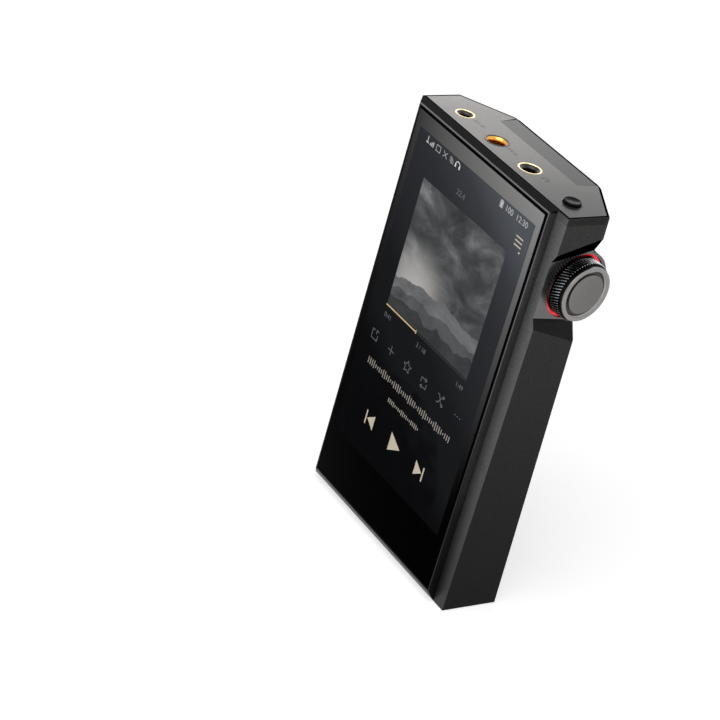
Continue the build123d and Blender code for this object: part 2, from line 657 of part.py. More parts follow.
def encoder_board():
    return wheel_box(-ENCODER_BACK, ENCODER_BOARD_T - ENCODER_BACK, ENCODER_W)


# ---- boards, battery and ports -----------------------------------------------------------------


def usb_y():
    return PORT_Y + USB_H / 2


def card_y():
    return PORT_Y + SLOT_WALL + CARD_GAP + CARD_T / 2


def board_with_holes(plate, places):
    for x, z in places:
        plate -= rod((x, Y_FRONT, z), (0, 1, 0), SCREW_R + FIT, BODY_D)
    return plate


def main_board():
    plate = block_box(-MAIN_HALF, MAIN_HALF, MAIN_Y, MAIN_Y + BOARD_T, BATTERY_Z, MAIN_TOP)
    return board_with_holes(plate, main_screw_places())


def audio_board():
    plate = block_box(AUDIO_LEFT, AUDIO_RIGHT, AUDIO_Y - BOARD_T, AUDIO_Y, AUDIO_FOOT, AUDIO_TOP)
    return board_with_holes(plate, audio_screw_places())


def port_board():
    return block_box(-PORT_HALF, PORT_HALF, PORT_Y - BOARD_T, PORT_Y, BASE_T, BASE_T + PORT_BOARD_H)


def board_link():
    """Connector block between the audio board and the main board."""
    return block_box(-LINK_W / 2, LINK_W / 2, AUDIO_Y, MAIN_Y, AUDIO_FOOT, AUDIO_FOOT + LINK_H)


def chip(x, z, width, height, y, thickness):
    return block_box(x - width / 2, x + width / 2, y, y + thickness, z - height / 2, z + height / 2)


def capacitor(step):
    return rod((AUDIO_MID + step, AUDIO_Y, AUDIO_TOP - CAPACITOR_DROP), (0, 1, 0), CAPACITOR_R, CAPACITOR_H)


def battery():
    cell = block_box(-BATTERY_HALF, BATTERY_HALF, BATTERY_Y, BATTERY_Y + BATTERY_T, BATTERY_Z, BATTERY_TOP)
    return fillet(cell.edges().filter_by(Axis.Z), BATTERY_T / 4)


def battery_pad():
    inset = BATTERY_T / 4
    return block_box(-BATTERY_HALF + inset, BATTERY_HALF - inset, Y_INNER, BATTERY_Y,
                     BATTERY_Z + inset, BATTERY_TOP - inset)


def board_screw(x, y, z, grip):
    """Screw whose head rests at y and whose shank goes towards the front."""
    head = rod((x, y, z), (0, 1, 0), SCREW_HEAD_R, SCREW_HEAD_T)
    return head + rod((x, y, z), (0, -1, 0), SCREW_R, grip)


def usb_port():
    """Oval metal shell with a tongue."""
    plane = Plane(origin=(USB_X, usb_y(), 0), z_dir=(0, 0, 1))
    shell = extrude(plane * SlotOverall(USB_W, USB_H), amount=USB_L)
    hollow = extrude(plane * SlotOverall(USB_W - 2 * USB_SHELL, USB_H - 2 * USB_SHELL), amount=USB_L - USB_SHELL)
    width, thick, length = USB_TONGUE
    tongue = block_box(USB_X - width / 2, USB_X + width / 2, usb_y() - thick / 2, usb_y() + thick / 2,
                       USB_L - USB_SHELL - length, USB_L)
    return shell - hollow + tongue


def card_slot():
    """Metal cage for the memory card."""
    half = CARD_W / 2 + CARD_GAP
    thick = CARD_T / 2 + CARD_GAP
    top = CARD_L + CARD_GAP
    cage = block_box(CARD_X - half - SLOT_WALL, CARD_X + half + SLOT_WALL,
                     card_y() - thick - SLOT_WALL, card_y() + thick + SLOT_WALL, BASE_T, top + SLOT_BACK)
    return cage - block_box(CARD_X - half, CARD_X + half, card_y() - thick, card_y() + thick, BASE_T, top)


def antenna_board():
    top = Z_TOP_SEAT - CLEAR
    return block_box(ANTENNA_X - ANTENNA_W / 2, ANTENNA_X + ANTENNA_W / 2, Y_INNER, Y_INNER + ANTENNA_T, top - ANTENNA_H, top)


# ---- all pieces --------------------------------------------------------------------------------


def single_pieces():
    builders = (housing, top_cap, bottom_cap, rear_cover, front_frame, antenna_window, cover_glass, display_panel,
                display_tray, power_button, power_switch, key_board, wheel_knob, wheel_ring, wheel_cap, wheel_shaft,
                shaft_bush, light_ring, encoder, encoder_board, main_board, audio_board, port_board, board_link,
                battery, battery_pad, usb_port, card_slot, antenna_board)
    return {builder.__name__: builder() for builder in builders}


def repeated_pieces():
    pieces = {"power_rim": rod((POWER_X, POWER_Y, BODY_H - RIM_T), (0, 0, 1), POWER_RIM_R, RIM_T, POWER_R + CLEAR / 2)}
    for name, x, bore, depth, rim_r, rim_in in sockets():
        pieces["socket_rim_" + name] = socket_rim(x, rim_r, rim_in)
        pieces["socket_body_" + name] = socket_body(x, bore, depth, rim_in)
    for place, z in zip(("upper", "middle", "lower"), pin_heights()):
        pieces["pin_key_" + place] = pin_key(z)
        pieces["key_switch_" + place] = key_switch(z)
    for name, x, lift, width, height, thickness in MAIN_CHIPS:
        pieces[name] = chip(x, (BATTERY_Z + MAIN_TOP) / 2 + lift, width, height, MAIN_Y + BOARD_T, thickness)
    for name, step, below, width, height, thickness in AUDIO_CHIPS:
        pieces[name] = chip(AUDIO_MID + step, AUDIO_TOP - below, width, height, AUDIO_Y, thickness)
    for number, step in enumerate((-CAPACITOR_STEP, CAPACITOR_STEP), 1):
        pieces[f"capacitor_{number}"] = capacitor(step)
    for number, (x, z) in enumerate(main_screw_places(), 1):
        pieces[f"main_screw_{number}"] = board_screw(x, MAIN_Y + BOARD_T, z, SCREW_L + BOARD_T - CLEAR)
    for number, (x, z) in enumerate(audio_screw_places(), 1):
        pieces[f"audio_screw_{number}"] = board_screw(x, AUDIO_Y, z, SCREW_L + BOARD_T - CLEAR)
    return pieces


def main():
    os.makedirs("parts", exist_ok=True)
    for name, shape in {**single_pieces(), **repeated_pieces()}.items():
        export_step(shape, f"parts/{name}.step")


main()
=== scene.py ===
"""Looks of a pocket music player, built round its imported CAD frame. Sizes are in millimetres until MM."""

import math

import bmesh
import bpy
from mathutils import Matrix, Vector


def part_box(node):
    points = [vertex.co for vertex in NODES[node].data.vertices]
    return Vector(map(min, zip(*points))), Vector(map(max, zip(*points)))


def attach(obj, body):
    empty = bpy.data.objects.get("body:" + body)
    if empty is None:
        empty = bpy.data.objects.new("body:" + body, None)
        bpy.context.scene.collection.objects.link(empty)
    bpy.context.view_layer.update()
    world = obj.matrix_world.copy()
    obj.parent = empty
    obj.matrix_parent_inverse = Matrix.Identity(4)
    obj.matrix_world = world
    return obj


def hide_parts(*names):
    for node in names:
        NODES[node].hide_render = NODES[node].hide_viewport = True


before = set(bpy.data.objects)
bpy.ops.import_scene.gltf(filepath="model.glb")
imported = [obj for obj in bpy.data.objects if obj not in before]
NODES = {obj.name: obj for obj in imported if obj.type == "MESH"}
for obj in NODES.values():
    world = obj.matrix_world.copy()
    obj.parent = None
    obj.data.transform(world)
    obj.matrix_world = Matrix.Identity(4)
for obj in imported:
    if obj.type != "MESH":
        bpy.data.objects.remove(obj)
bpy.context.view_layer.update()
MM = 0.001
BODY = "player"
WHEEL = "volume_wheel"

# ---- camera and light panels ----------------------
EYE = (431.6, -390.3, 357.6)
LOOK = (-0.67925, 0.56344, -0.47028)
SIDEWAYS = (0.51313, 0.82273, 0.24456)
LENS = 125.26
SENSOR = 36.0


def place_camera():
    """Camera at EYE that looks along LOOK, with SIDEWAYS running across the picture."""
    data = bpy.data.cameras.new("view")
    data.sensor_width = SENSOR
    data.lens = LENS
    data.clip_start, data.clip_end = 0.01, 50.0
    camera = bpy.data.objects.new("view", data)
    forward = Vector(LOOK).normalized()
    right = Vector(SIDEWAYS)
    right = (right - forward * right.dot(forward)).normalized()
    up = right.cross(forward)
    turn = Matrix((right, up, -forward)).transposed().to_4x4()
    camera.matrix_world = Matrix.Translation(Vector(EYE) * MM) @ turn
    bpy.context.scene.collection.objects.link(camera)
    bpy.context.scene.camera = camera


def panel(name, direction, distance, width, height, radiance, target):
    """Soft light panel that faces a point from a direction. Sizes in metres."""
    data = bpy.data.lights.new(name, "AREA")
    data.shape = "RECTANGLE"
    data.size, data.size_y = width, height
    data.energy = radiance * math.pi * width * height
    lamp = bpy.data.objects.new(name, data)
    lamp.location = Vector(target) + Vector(direction).normalized() * distance
    lamp.rotation_euler = (Vector(target) - lamp.location).to_track_quat("-Z", "Y").to_euler()
    bpy.context.scene.collection.objects.link(lamp)


# ---- materials ------------------------------------


class Nodes:
    """Small helper round one material's node tree."""

    def __init__(self, name):
        self.material = bpy.data.materials.new(name)
        self.material.use_nodes = True
        self.tree = self.material.node_tree
        self.shader = self.tree.nodes["Principled BSDF"]

    def add(self, kind, **settings):
        node = self.tree.nodes.new(kind)
        for key, value in settings.items():
            setattr(node, key, value)
        return node

    def link(self, source, target):
        self.tree.links.new(source, target)

    def set(self, **values):
        """Sets shader sockets; underscores in a key stand for spaces."""
        for key, value in values.items():
            self.shader.inputs[key.replace("_", " ")].default_value = value

    def place(self, scale=(1, 1, 1)):
        """Object coordinates in metres, stretched by scale."""
        coords = self.add("ShaderNodeTexCoord")
        mapping = self.add("ShaderNodeMapping")
        mapping.inputs["Scale"].default_value = scale
        self.link(coords.outputs["Object"], mapping.inputs["Vector"])
        return mapping.outputs["Vector"]

    def noise(self, scale, detail=2.0, roughness=0.5, stretch=(1, 1, 1), distortion=0.0):
        node = self.add("ShaderNodeTexNoise")
        self.link(self.place(stretch), node.inputs["Vector"])
        node.inputs["Scale"].default_value = scale
        node.inputs["Detail"].default_value = detail
        node.inputs["Roughness"].default_value = roughness
        node.inputs["Distortion"].default_value = distortion
        return node.outputs["Fac"]

    def fit(self, value, low, high, new_low, new_high, smooth=False):
        """Maps a value from one range to another, clamped."""
        node = self.add("ShaderNodeMapRange", clamp=True)
        if smooth:
            node.interpolation_type = "SMOOTHSTEP"
        self.link(value, node.inputs["Value"])
        for key, number in (("From Min", low), ("From Max", high), ("To Min", new_low), ("To Max", new_high)):
            node.inputs[key].default_value = number
        return node.outputs["Result"]

    def math(self, operation, a, b):
        node = self.add("ShaderNodeMath", operation=operation)
        for socket, value in zip(node.inputs, (a, b)):
            if isinstance(value, (int, float)):
                socket.default_value = value
            else:
                self.link(value, socket)
        return node.outputs["Value"]

    def mix(self, factor, a, b, blend="MIX"):
        """Mixes two colours; either may be a socket."""
        node = self.add("ShaderNodeMix", data_type="RGBA", blend_type=blend)
        for key, value in ((0, factor), (6, a), (7, b)):
            if isinstance(value, tuple):
                node.inputs[key].default_value = (*value, 1.0)
            elif isinstance(value, (int, float)):
                node.inputs[key].default_value = value
            else:
                self.link(value, node.inputs[key])
        return node.outputs[2]

    def ramp(self, value, stops):
        node = self.add("ShaderNodeValToRGB")
        elements = node.color_ramp.elements
        while len(elements) < len(stops):
            elements.new(0.5)
        for element, (position, color) in zip(elements, stops):
            element.position = position
            element.color = (*color, 1.0)
        self.link(value, node.inputs["Fac"])
        return node.outputs["Color"]

    def facing(self, direction, low, high):
        """Mask that is 1 where the surface faces a direction."""
        geometry = self.add("ShaderNodeNewGeometry")
        dot = self.add("ShaderNodeVectorMath", operation="DOT_PRODUCT")
        self.link(geometry.outputs["Normal"], dot.inputs[0])
        dot.inputs[1].default_value = Vector(direction).normalized()
        return self.fit(dot.outputs["Value"], low, high, 0.0, 1.0)

    def along(self, direction, low, high, smooth=True):
        """Mask that grows from 0 to 1 between two distances, in millimetres, along a direction."""
        coords = self.add("ShaderNodeTexCoord")
        dot = self.add("ShaderNodeVectorMath", operation="DOT_PRODUCT")
        self.link(coords.outputs["Object"], dot.inputs[0])
        dot.inputs[1].default_value = direction
        return self.fit(dot.outputs["Value"], low * MM, high * MM, 0.0, 1.0, smooth)

    def bump(self, height, strength, distance):
        node = self.add("ShaderNodeBump")
        node.inputs["Strength"].default_value = strength
        node.inputs["Distance"].default_value = distance * MM
        self.link(height, node.inputs["Height"])
        self.link(node.outputs["Normal"], self.shader.inputs["Normal"])

    def color(self, socket):
        self.link(socket, self.shader.inputs["Base Color"])

    def rough(self, socket):
        self.link(socket, self.shader.inputs["Roughness"])


def grey(value, warmth=0.0):
    """Grey with a small push to warm (positive) or cool (negative)."""
    return (value * (1 + warmth), value, value * (1 - warmth))


def turned(name, base, rough=(0.2, 0.34), metallic=1.0, grain=0.1):
    """Machined metal with a faint fine grain."""
    n = Nodes(name)
    fine = n.noise(1 / (grain * MM), detail=2.0)
    n.color(n.mix(fine, tuple(c * 0.92 for c in base), tuple(min(1, c * 1.08) for c in base)))
    n.rough(n.fit(fine, 0.3, 0.7, rough[0], rough[1]))
    n.bump(fine, 0.25, 0.003)
    n.set(Metallic=metallic)
    return n


def moulded(name, base, rough=(0.35, 0.5), grain=0.3, relief=0.01, gloss=0.0):
    """Moulded plastic with a fine mould texture."""
    n = Nodes(name)
    fine = n.noise(1 / (grain * MM), detail=3.0)
    n.color(n.mix(fine, tuple(c * 0.85 for c in base), tuple(c * 1.15 for c in base)))
    n.rough(n.fit(fine, 0.3, 0.7, rough[0], rough[1]))
    n.bump(fine, 0.3, relief)
    n.set(Coat_Weight=gloss, Coat_Roughness=0.06)
    return n


def give(material, *objects):
    """Gives objects one material, in every slot."""
    for obj in objects:
        obj.data.materials.clear()
        obj.data.materials.append(material)


def dress(nodes_material, *names):
    """Gives a material to CAD nodes by name."""
    give(nodes_material.material, *[NODES[name] for name in names])


# ---- mesh builders --------------------------------


def finish_piece(name, mesh, nodes_material, body, smooth=True, sharp=35.0):
    """Makes the object, shades it and lets it ride on its body."""
    obj = bpy.data.objects.new(name, mesh)
    bpy.context.scene.collection.objects.link(obj)
    if smooth:
        mesh.shade_smooth()
        mesh.set_sharp_from_angle(angle=math.radians(sharp))
    give(nodes_material.material, obj)
    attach(obj, body)
    return obj


def mesh_from(name, points, faces):
    """Mesh from points in millimetres."""
    mesh = bpy.data.meshes.new(name)
    mesh.from_pydata([tuple(c * MM for c in point) for point in points], [], faces)
    bm = bmesh.new()
    bm.from_mesh(mesh)
    bmesh.ops.recalc_face_normals(bm, faces=bm.faces)
    bm.to_mesh(mesh)
    bm.free()
    return mesh


def axis_frame(origin, axis):
    """Origin and two directions square to an axis."""
    axis = Vector(axis).normalized()
    side = axis.cross(Vector((0, 0, 1)))
    if side.length < 0.01:
        side = Vector((1, 0, 0))
    side.normalize()
    return Vector(origin), axis, side, axis.cross(side)


def lathe(name, profile, origin, axis, nodes_material, body=BODY, steps=96, sharp=35.0, closed=True):
    """Turned solid: profile points are (radius, distance along the axis) in millimetres."""
    start, along, u, v = axis_frame(origin, axis)
    points, faces = [], []
    for step in range(steps):
        angle = 2 * math.pi * step / steps
        out = u * math.cos(angle) + v * math.sin(angle)
        points += [start + out * radius + along * height for radius, height in profile]
    count = len(profile)
    for step in range(steps):
        here, there = step * count, (step + 1) % steps * count
        for index in range(count if closed else count - 1):
            after = (index + 1) % count
            faces.append((here + index, here + after, there + after, there + index))
    mesh = mesh_from(name, points, faces)
    bm = bmesh.new()
    bm.from_mesh(mesh)
    bmesh.ops.remove_doubles(bm, verts=bm.verts, dist=1e-7)
    bm.to_mesh(mesh)
    bm.free()
    return finish_piece(name, mesh, nodes_material, body, sharp=sharp)


def arc(cx, cy, radius, start, end, steps=6):
    """Points of an arc, in degrees."""
    turns = [math.radians(start + (end - start) * i / steps) for i in range(steps + 1)]
    return [(cx + radius * math.cos(turn), cy + radius * math.sin(turn)) for turn in turns]


class Flat:
    """Thin raised shapes on a flat face, all between the same two depths. Closed solids."""

    def __init__(self, place):
        self.place = place
        self.points, self.faces = [], []

    def fill(self, outline):
        """Solid shape from one outline."""
        first, count = len(self.points), len(outline)
        for depth in (1, 0):
            self.points += [self.place(a, b, depth) for a, b in outline]
        self.faces.append(tuple(first + i for i in range(count)))
        self.faces.append(tuple(first + count + i for i in reversed(range(count))))
        for i in range(count):
            after = (i + 1) % count
            self.faces.append((first + i, first + after, first + count + after, first + count + i))

    def bar(self, a, b, width, height):
        """Upright rectangle round a centre."""
        w, h = width / 2, height / 2
        self.fill([(a - w, b - h), (a + w, b - h), (a + w, b + h), (a - w, b + h)])

    def stroke(self, path, width, closed=False):
        """Line of even width along a path, with mitred corners."""
        path = [Vector(point) for point in path]
        count, first = len(path), len(self.points)
        for index, here in enumerate(path):
            before = path[index - 1] if index or closed else None
            after = path[(index + 1) % count] if index < count - 1 or closed else None
            legs = ((before, here), (here, after))
            sides = [(b - a).normalized() for a, b in legs if a is not None and b is not None]
            normals = [Vector((-side.y, side.x)) for side in sides]
            mitre = sum(normals, Vector((0, 0))).normalized()
            reach = width / 2 / max(0.5, mitre.dot(normals[0]))
            left, right = here + mitre * reach, here - mitre * reach
            self.points += [self.place(*point, depth) for depth in (1, 0) for point in (left, right)]
        for index in range(count if closed else count - 1):
            i, j = first + 4 * index, first + 4 * ((index + 1) % count)
            self.faces += [(i, i + 1, j + 1, j), (i + 2, j + 2, j + 3, i + 3), (i, j, j + 2, i + 2),
                           (i + 1, i + 3, j + 3, j + 1)]
        if not closed:
            last = first + 4 * (count - 1)
            self.faces += [(first, first + 2, first + 3, first + 1), (last, last + 1, last + 3, last + 2)]

    def ring(self, a, b, radius, width, steps=24):
        """Round line of even width."""
        self.stroke(arc(a, b, radius, 0, 360, steps)[:-1], width, closed=True)

    def piece(self, name, nodes_material, body=BODY):
        """Makes one object of all the shapes so far."""
        mesh = mesh_from(name, self.points, self.faces)
        return finish_piece(name, mesh, nodes_material, body, smooth=False)


def loft(name, rings, nodes_material, body=BODY, sharp=30.0):
    """Closed solid through rings of points with equal counts, capped at both ends."""
    count = len(rings[0])
    points = [point for ring in rings for point in ring]
    faces = [tuple(range(count)), tuple(reversed(range(len(points) - count, len(points))))]
    for level in range(len(rings) - 1):
        i, j = level * count, (level + 1) * count
        faces += [(i + k, i + (k + 1) % count, j + (k + 1) % count, j + k) for k in range(count)]
    return finish_piece(name, mesh_from(name, points, faces), nodes_material, body, sharp=sharp)


def rounded(low, high, inset, radius, depth, steps=5):
    """Ring of a rounded rectangle in the plane of the screen, at one depth."""
    x0, z0, x1, z1 = low.x + inset, low.z + inset, high.x - inset, high.z - inset
    corners = ((x1 - radius, z1 - radius, 0), (x0 + radius, z1 - radius, 90),
               (x0 + radius, z0 + radius, 180), (x1 - radius, z0 + radius, 270))
    outline = [point for x, z, turn in corners for point in arc(x, z, radius, turn, turn + 90, steps)]
    return [(x, depth, z) for x, z in outline]


def box_mm(name):
    """Lowest and highest corner of a CAD node, in millimetres."""
    low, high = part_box(name)
    return Vector(low) / MM, Vector(high) / MM


def soften(name, width, angle=20.0, segments=2):
    """Rounds the sharp edges of a CAD node slightly."""
    modifier = NODES[name].modifiers.new("edges", "BEVEL")
    modifier.width = width * MM
    modifier.segments = segments
    modifier.limit_method = "ANGLE"
    modifier.angle_limit = math.radians(angle)
    modifier.harden_normals = True
    return modifier


place_camera()

# ---- where the volume wheel sits ------------------
WHEEL_TILT = math.radians(5.0)
WHEEL_AXIS = (math.cos(WHEEL_TILT), math.sin(WHEEL_TILT), 0.0)
WHEEL_FOOT = (30.575, 1.85, 96.1)
TEETH = 64
LAMP_ANGLE = 50.0        # where the two lamps under the light ring sit, from the rear towards the top

# ---- metals of the body ---------------------------


# Painted shade: the dark sides get darker towards the foot; pairs of a height in millimetres and a tone.
SIDE_SHADE_TONES = ((5, 0.005), (25, 0.009), (40, 0.013), (70, 0.021), (110, 0.03))
# Painted light and shade: the frame's right-facing wall is paler than the rest of the frame and darker
# towards the foot.
WALL_LIGHT_AND_SHADE_TONES = ((5, 0.006), (25, 0.02), (40, 0.06), (110, 0.088))
# Painted light and shade: the ledge beside the screen is paler than the sides and darker towards the foot.
LEDGE_LIGHT_AND_SHADE_TONES = ((5, 0.01), (12, 0.018), (25, 0.045), (40, 0.075), (55, 0.098), (85, 0.118), (110, 0.13))
NOTCH_FLOOR = (0.9962, 0.0872, 0)
NOTCH_ROOF = (0.8767, 0.1455, -0.459)
NOTCH_SILL = (0.8767, 0.1455, 0.459)
# Painted sheen and shade on the round housing behind the wheel: bright across its middle, dark above and
# below.
BARREL_SHEEN_TONES = ((86, 0.03), (90, 0.1), (95, 0.3), (99, 0.26), (103, 0.08), (106, 0.03))
# Painted sheen: the top plate is paler to the left and darker to the right.
TOP_SHEEN_TONES = ((-31, 0.15), (-24, 0.125), (-10, 0.11), (0, 0.092), (10, 0.068), (20, 0.042), (31, 0.026))
# Painted shade: a darker band between the top plate's rear corners, also darker to the right.
BAND_SHADE_TONES = ((-18, 0.046), (-6, 0.034), (6, 0.022), (17, 0.012))
TOP_OUTLINE = ((-32.9, -9.3), (32.9, -9.3), (32.9, 3.5), (18.0, 11.8), (-18.7, 11.8), (-32.9, 2.4))
BAND_OUTLINE = ((-17.6, 5.0), (16.9, 5.0), (18.0, 11.8), (-18.7, 11.8))
FRAME_TOP = 116.05       # upper edge of the frame's front
# Painted shade: the strip inside the top plate's edge is painted dark.
RIM_SHADE_STRIP = 0.75         # dark strip inside the top plate's edge


def shade(n, mask, tone, under, grains):
    """Lays a grained tone over another where the mask is 1."""
    return n.mix(mask, under, n.mix(1.0, grains, tone, "MULTIPLY"))


def grained(n, size, speckle, depth, rough):
    """Blasted grain: returns its light and dark specks, and sets gloss and relief."""
    fine = n.noise(1 / (size * MM), detail=3.0, roughness=0.7)
    n.rough(n.fit(fine, 0.3, 0.7, rough[1], rough[0]))
    n.bump(fine, 0.5, depth)
    return n.ramp(fine, ((0.34, grey(1 - speckle)), (0.5, grey(1.0)), (0.68, grey(1 + speckle * 1.6))))


def tones(n, direction, stops, warmth=0.0):
    """Tone that changes along a direction; stops are pairs of a distance in millimetres and a tone."""
    first, last = stops[0][0], stops[-1][0]
    way = n.along(direction, first, last, smooth=False)
    return n.ramp(way, [((place - first) / (last - first), grey(tone, warmth)) for place, tone in stops])


def inside(n, outline, margin, soft=0.08):
    """Mask of what lies further than a margin inside an anticlockwise outline in the top plane."""
    mask = None
    for index, start in enumerate(outline):
        end = outline[(index + 1) % len(outline)]
        inward = Vector((start[1] - end[1], end[0] - start[0], 0)).normalized()
        edge = inward.x * start[0] + inward.y * start[1] + margin
        here = n.along(inward, edge - soft, edge + soft)
        mask = here if mask is None else n.math("MULTIPLY", mask, here)
    return mask


def finish_of_sides(n, grains):
    """Colour of the dark sides and of the paler ledge beside the screen."""
    sides = n.mix(1.0, grains, tones(n, (0, 0, 1), SIDE_SHADE_TONES, 0.02), "MULTIPLY")
    # Painted light and shade: the front-facing ledge gets a paler tone that darkens towards the foot.
    ledge = n.facing((0, -1, 0), 0.9, 0.99)
    n.link(n.fit(ledge, 0, 1, 1.0, 0.15), n.shader.inputs["Metallic"])
    return shade(n, ledge, tones(n, (0, 0, 1), LEDGE_LIGHT_AND_SHADE_TONES, -0.02), sides, grains)


def gloss_where(n, mask, share):
    """Multiplies the roughness by a share where the mask is 1."""
    rough = n.shader.inputs["Roughness"].links[0].from_socket
    n.rough(n.math("MULTIPLY", rough, n.fit(mask, 0, 1, 1.0, share)))


def body_metal():
    """Dark anodised body with painted shade darker to the foot and black in the notch, painted light on the
    rear slants, a painted sheen on the round housing, and a paler floor round the wheel.
    """
    n = Nodes("body_metal")
    grains = grained(n, 0.2, 0.34, 0.012, (0.38, 0.52))
    colour = finish_of_sides(n, grains)
    # Painted shade: the notch's roof and the facet under it are painted near black; the roof's edge
    # reflection is also damped through Specular Tint.
    roof = n.facing(NOTCH_ROOF, 0.95, 0.985)
    colour = shade(n, roof, grey(0.003), colour, grains)
    colour = shade(n, n.facing(NOTCH_SILL, 0.97, 0.99), grey(0.006), colour, grains)
    # Painted light: the rear slants get a paler, warmer tone than the sides.
    slant = n.facing((0.45, 0.85, 0), 0.93, 0.96)
    colour = shade(n, slant, grey(0.06, 0.06), colour, grains)
    low = n.fit(n.along((1, 0, 0), 31.9, 32.1), 0, 1, 1, 0)
    notch = n.math("MULTIPLY", n.facing(NOTCH_FLOOR, 0.9985, 0.9997), low)
    barrel = barrel_mask(n)
    # Specular Tint damps the reflection of the painted-shade roof and the painted-sheen housing.
    n.link(n.mix(n.math("MAXIMUM", roof, barrel), grey(1.0), grey(0.02)), n.shader.inputs["Specular Tint"])
    colour = n.mix(notch, colour, grey(0.12, 0.02))
    n.color(n.mix(barrel, colour, tones(n, (0, 0, 1), BARREL_SHEEN_TONES, 0.02)))
    gloss_where(n, n.math("MAXIMUM", barrel, notch), 0.42)
    return n


def off_axis(n):
    """Distance from the wheel's axis."""
    coords = n.add("ShaderNodeTexCoord")
    aside = n.add("ShaderNodeVectorMath", operation="SUBTRACT")
    n.link(coords.outputs["Object"], aside.inputs[0])
    aside.inputs[1].default_value = Vector(WHEEL_FOOT) * MM
    across = n.add("ShaderNodeVectorMath", operation="CROSS_PRODUCT")
    n.link(aside.outputs["Vector"], across.inputs[0])
    across.inputs[1].default_value = WHEEL_AXIS
    length = n.add("ShaderNodeVectorMath", operation="LENGTH")
    n.link(across.outputs["Vector"], length.inputs[0])
    return length.outputs["Value"]


def barrel_mask(n):
    """Mask over the smooth round housing behind the wheel."""
    near = n.fit(off_axis(n), 10.0 * MM, 10.15 * MM, 1.0, 0.0)
    across = n.math("MULTIPLY", n.along((1, 0, 0), 14, 16), n.fit(n.along((1, 0, 0), 31.5, 31.8), 0, 1, 1, 0))
    behind = n.math("MULTIPLY", n.along((0, 1, 0), 2.2, 3.0), across)
    off_floor = n.fit(n.facing(NOTCH_FLOOR, 0.97, 0.995), 0, 1, 1, 0)
    return n.math("MULTIPLY", n.math("MULTIPLY", near, behind), off_floor)


def top_metal():
    """Satin top plate with a painted sheen paler to the left, a dark strip of painted shade inside its edge
    and a darker band of painted shade between its rear corners.
    """
    n = Nodes("top_metal")
    grains = grained(n, 0.2, 0.34, 0.012, (0.38, 0.52))
    soft = n.mix(0.65, grains, grey(1.0))
    colour = finish_of_sides(n, grains)
    upward = n.facing((0, 0, 1), 0.9, 0.97)
    # Painted shade: upward faces outside the plate area, such as the strip inside the edge, are painted dark,
    # and Specular Tint damps their reflection.
    colour = shade(n, upward, grey(0.012), colour, soft)
    plate_area = n.math("MULTIPLY", upward, inside(n, TOP_OUTLINE, RIM_SHADE_STRIP))
    colour = shade(n, plate_area, tones(n, (1, -0.25, 0), TOP_SHEEN_TONES, 0.03), colour, soft)
    n.link(n.mix(plate_area, grey(0.02), grey(1.0)), n.shader.inputs["Specular Tint"])
    band_area = n.math("MULTIPLY", plate_area, inside(n, BAND_OUTLINE, 0.0))
    n.color(shade(n, band_area, tones(n, (1, 0, 0), BAND_SHADE_TONES, 0.03), colour, soft))
    gloss_where(n, upward, 0.78)
    return n


def brushed_metal():
    """Rear cover, brushed from top to bottom."""
    n = Nodes("brushed_metal")
    streaks = n.noise(3600.0, detail=4.0, roughness=0.65, stretch=(1, 1, 0.02))
    long_streaks = n.noise(700.0, detail=2.0, stretch=(1, 1, 0.01))
    both = n.math("MULTIPLY", streaks, long_streaks)
    n.color(n.ramp(both, ((0.12, grey(0.05)), (0.26, grey(0.075)), (0.42, grey(0.11)))))
    n.rough(n.fit(streaks, 0.3, 0.7, 0.42, 0.3))
    n.bump(streaks, 0.25, 0.005)
    n.set(Metallic=0.9, Anisotropic=0.5)
    return n


def frame_metal():
    """Frame round the glass: blasted walls, the right-facing wall with painted light and shade, and a painted
    highlight line along its top and right edges.
    """
    n = Nodes("frame_metal")
    grains = grained(n, 0.22, 0.5, 0.012, (0.42, 0.55))
    colour = n.mix(1.0, grains, grey(0.02), "MULTIPLY")
    # Painted light and shade on the right-facing wall, by height.
    colour = shade(n, n.facing((1, 0, 0), 0.8, 0.95), tones(n, (0, 0, 1), WALL_LIGHT_AND_SHADE_TONES), colour, grains)
    front = n.along((0, -1, 0), 11.6, 11.7)
    high = box_mm("front_frame")[1]
    # Painted highlight: a thin pale line along the top and right edges of the frame's front, the right one
    # fading out below 90 mm.
    right = n.math("MULTIPLY", n.along((1, 0, 0), high.x - 0.24, high.x - 0.18), n.along((0, 0, 1), 30, 90))
    top = n.along((0, 0, 1), FRAME_TOP - 0.24, FRAME_TOP - 0.18)
    line = n.mix(n.math("MAXIMUM", right, top), grey(0.004), grey(0.17))
    n.color(n.mix(front, colour, line))
    gloss_where(n, front, 0.45)
    n.set(Metallic=0.8)
    return n


METALS = {
    body_metal: ("housing", "bottom_cap"),
    top_metal: ("top_cap",),
    brushed_metal: ("rear_cover",),
    frame_metal: ("front_frame",),
}
for maker, names in METALS.items():
    dress(maker(), *names)
window = moulded("window_black", grey(0.006), rough=(0.08, 0.14), relief=0.001)
window.set(IOR=1.12)
dress(window, "antenna_window")
dress(turned("pin_metal", grey(0.16)), "pin_key_upper", "pin_key_middle", "pin_key_lower")
dress(turned("shaft_steel", grey(0.55)), "wheel_shaft", *[name for name in NODES if "screw" in name])
dress(turned("bush_brass", (0.72, 0.55, 0.28)), "shaft_bush")
dress(turned("shield_steel", grey(0.5), rough=(0.28, 0.42)), "display_tray", "card_slot", "processor_shield",
      "amplifier_shield", "usb_port")
dress(moulded("chip_black", grey(0.02)), "power_switch", "key_switch_upper", "key_switch_middle",
      "key_switch_lower", "encoder", "board_link", "memory_chip", "power_chip", "converter_chip_left",
      "converter_chip_right")
dress(moulded("board_green", (0.015, 0.06, 0.035), gloss=0.5), "main_board", "audio_board", "port_board",
      "key_board", "encoder_board", "antenna_board")
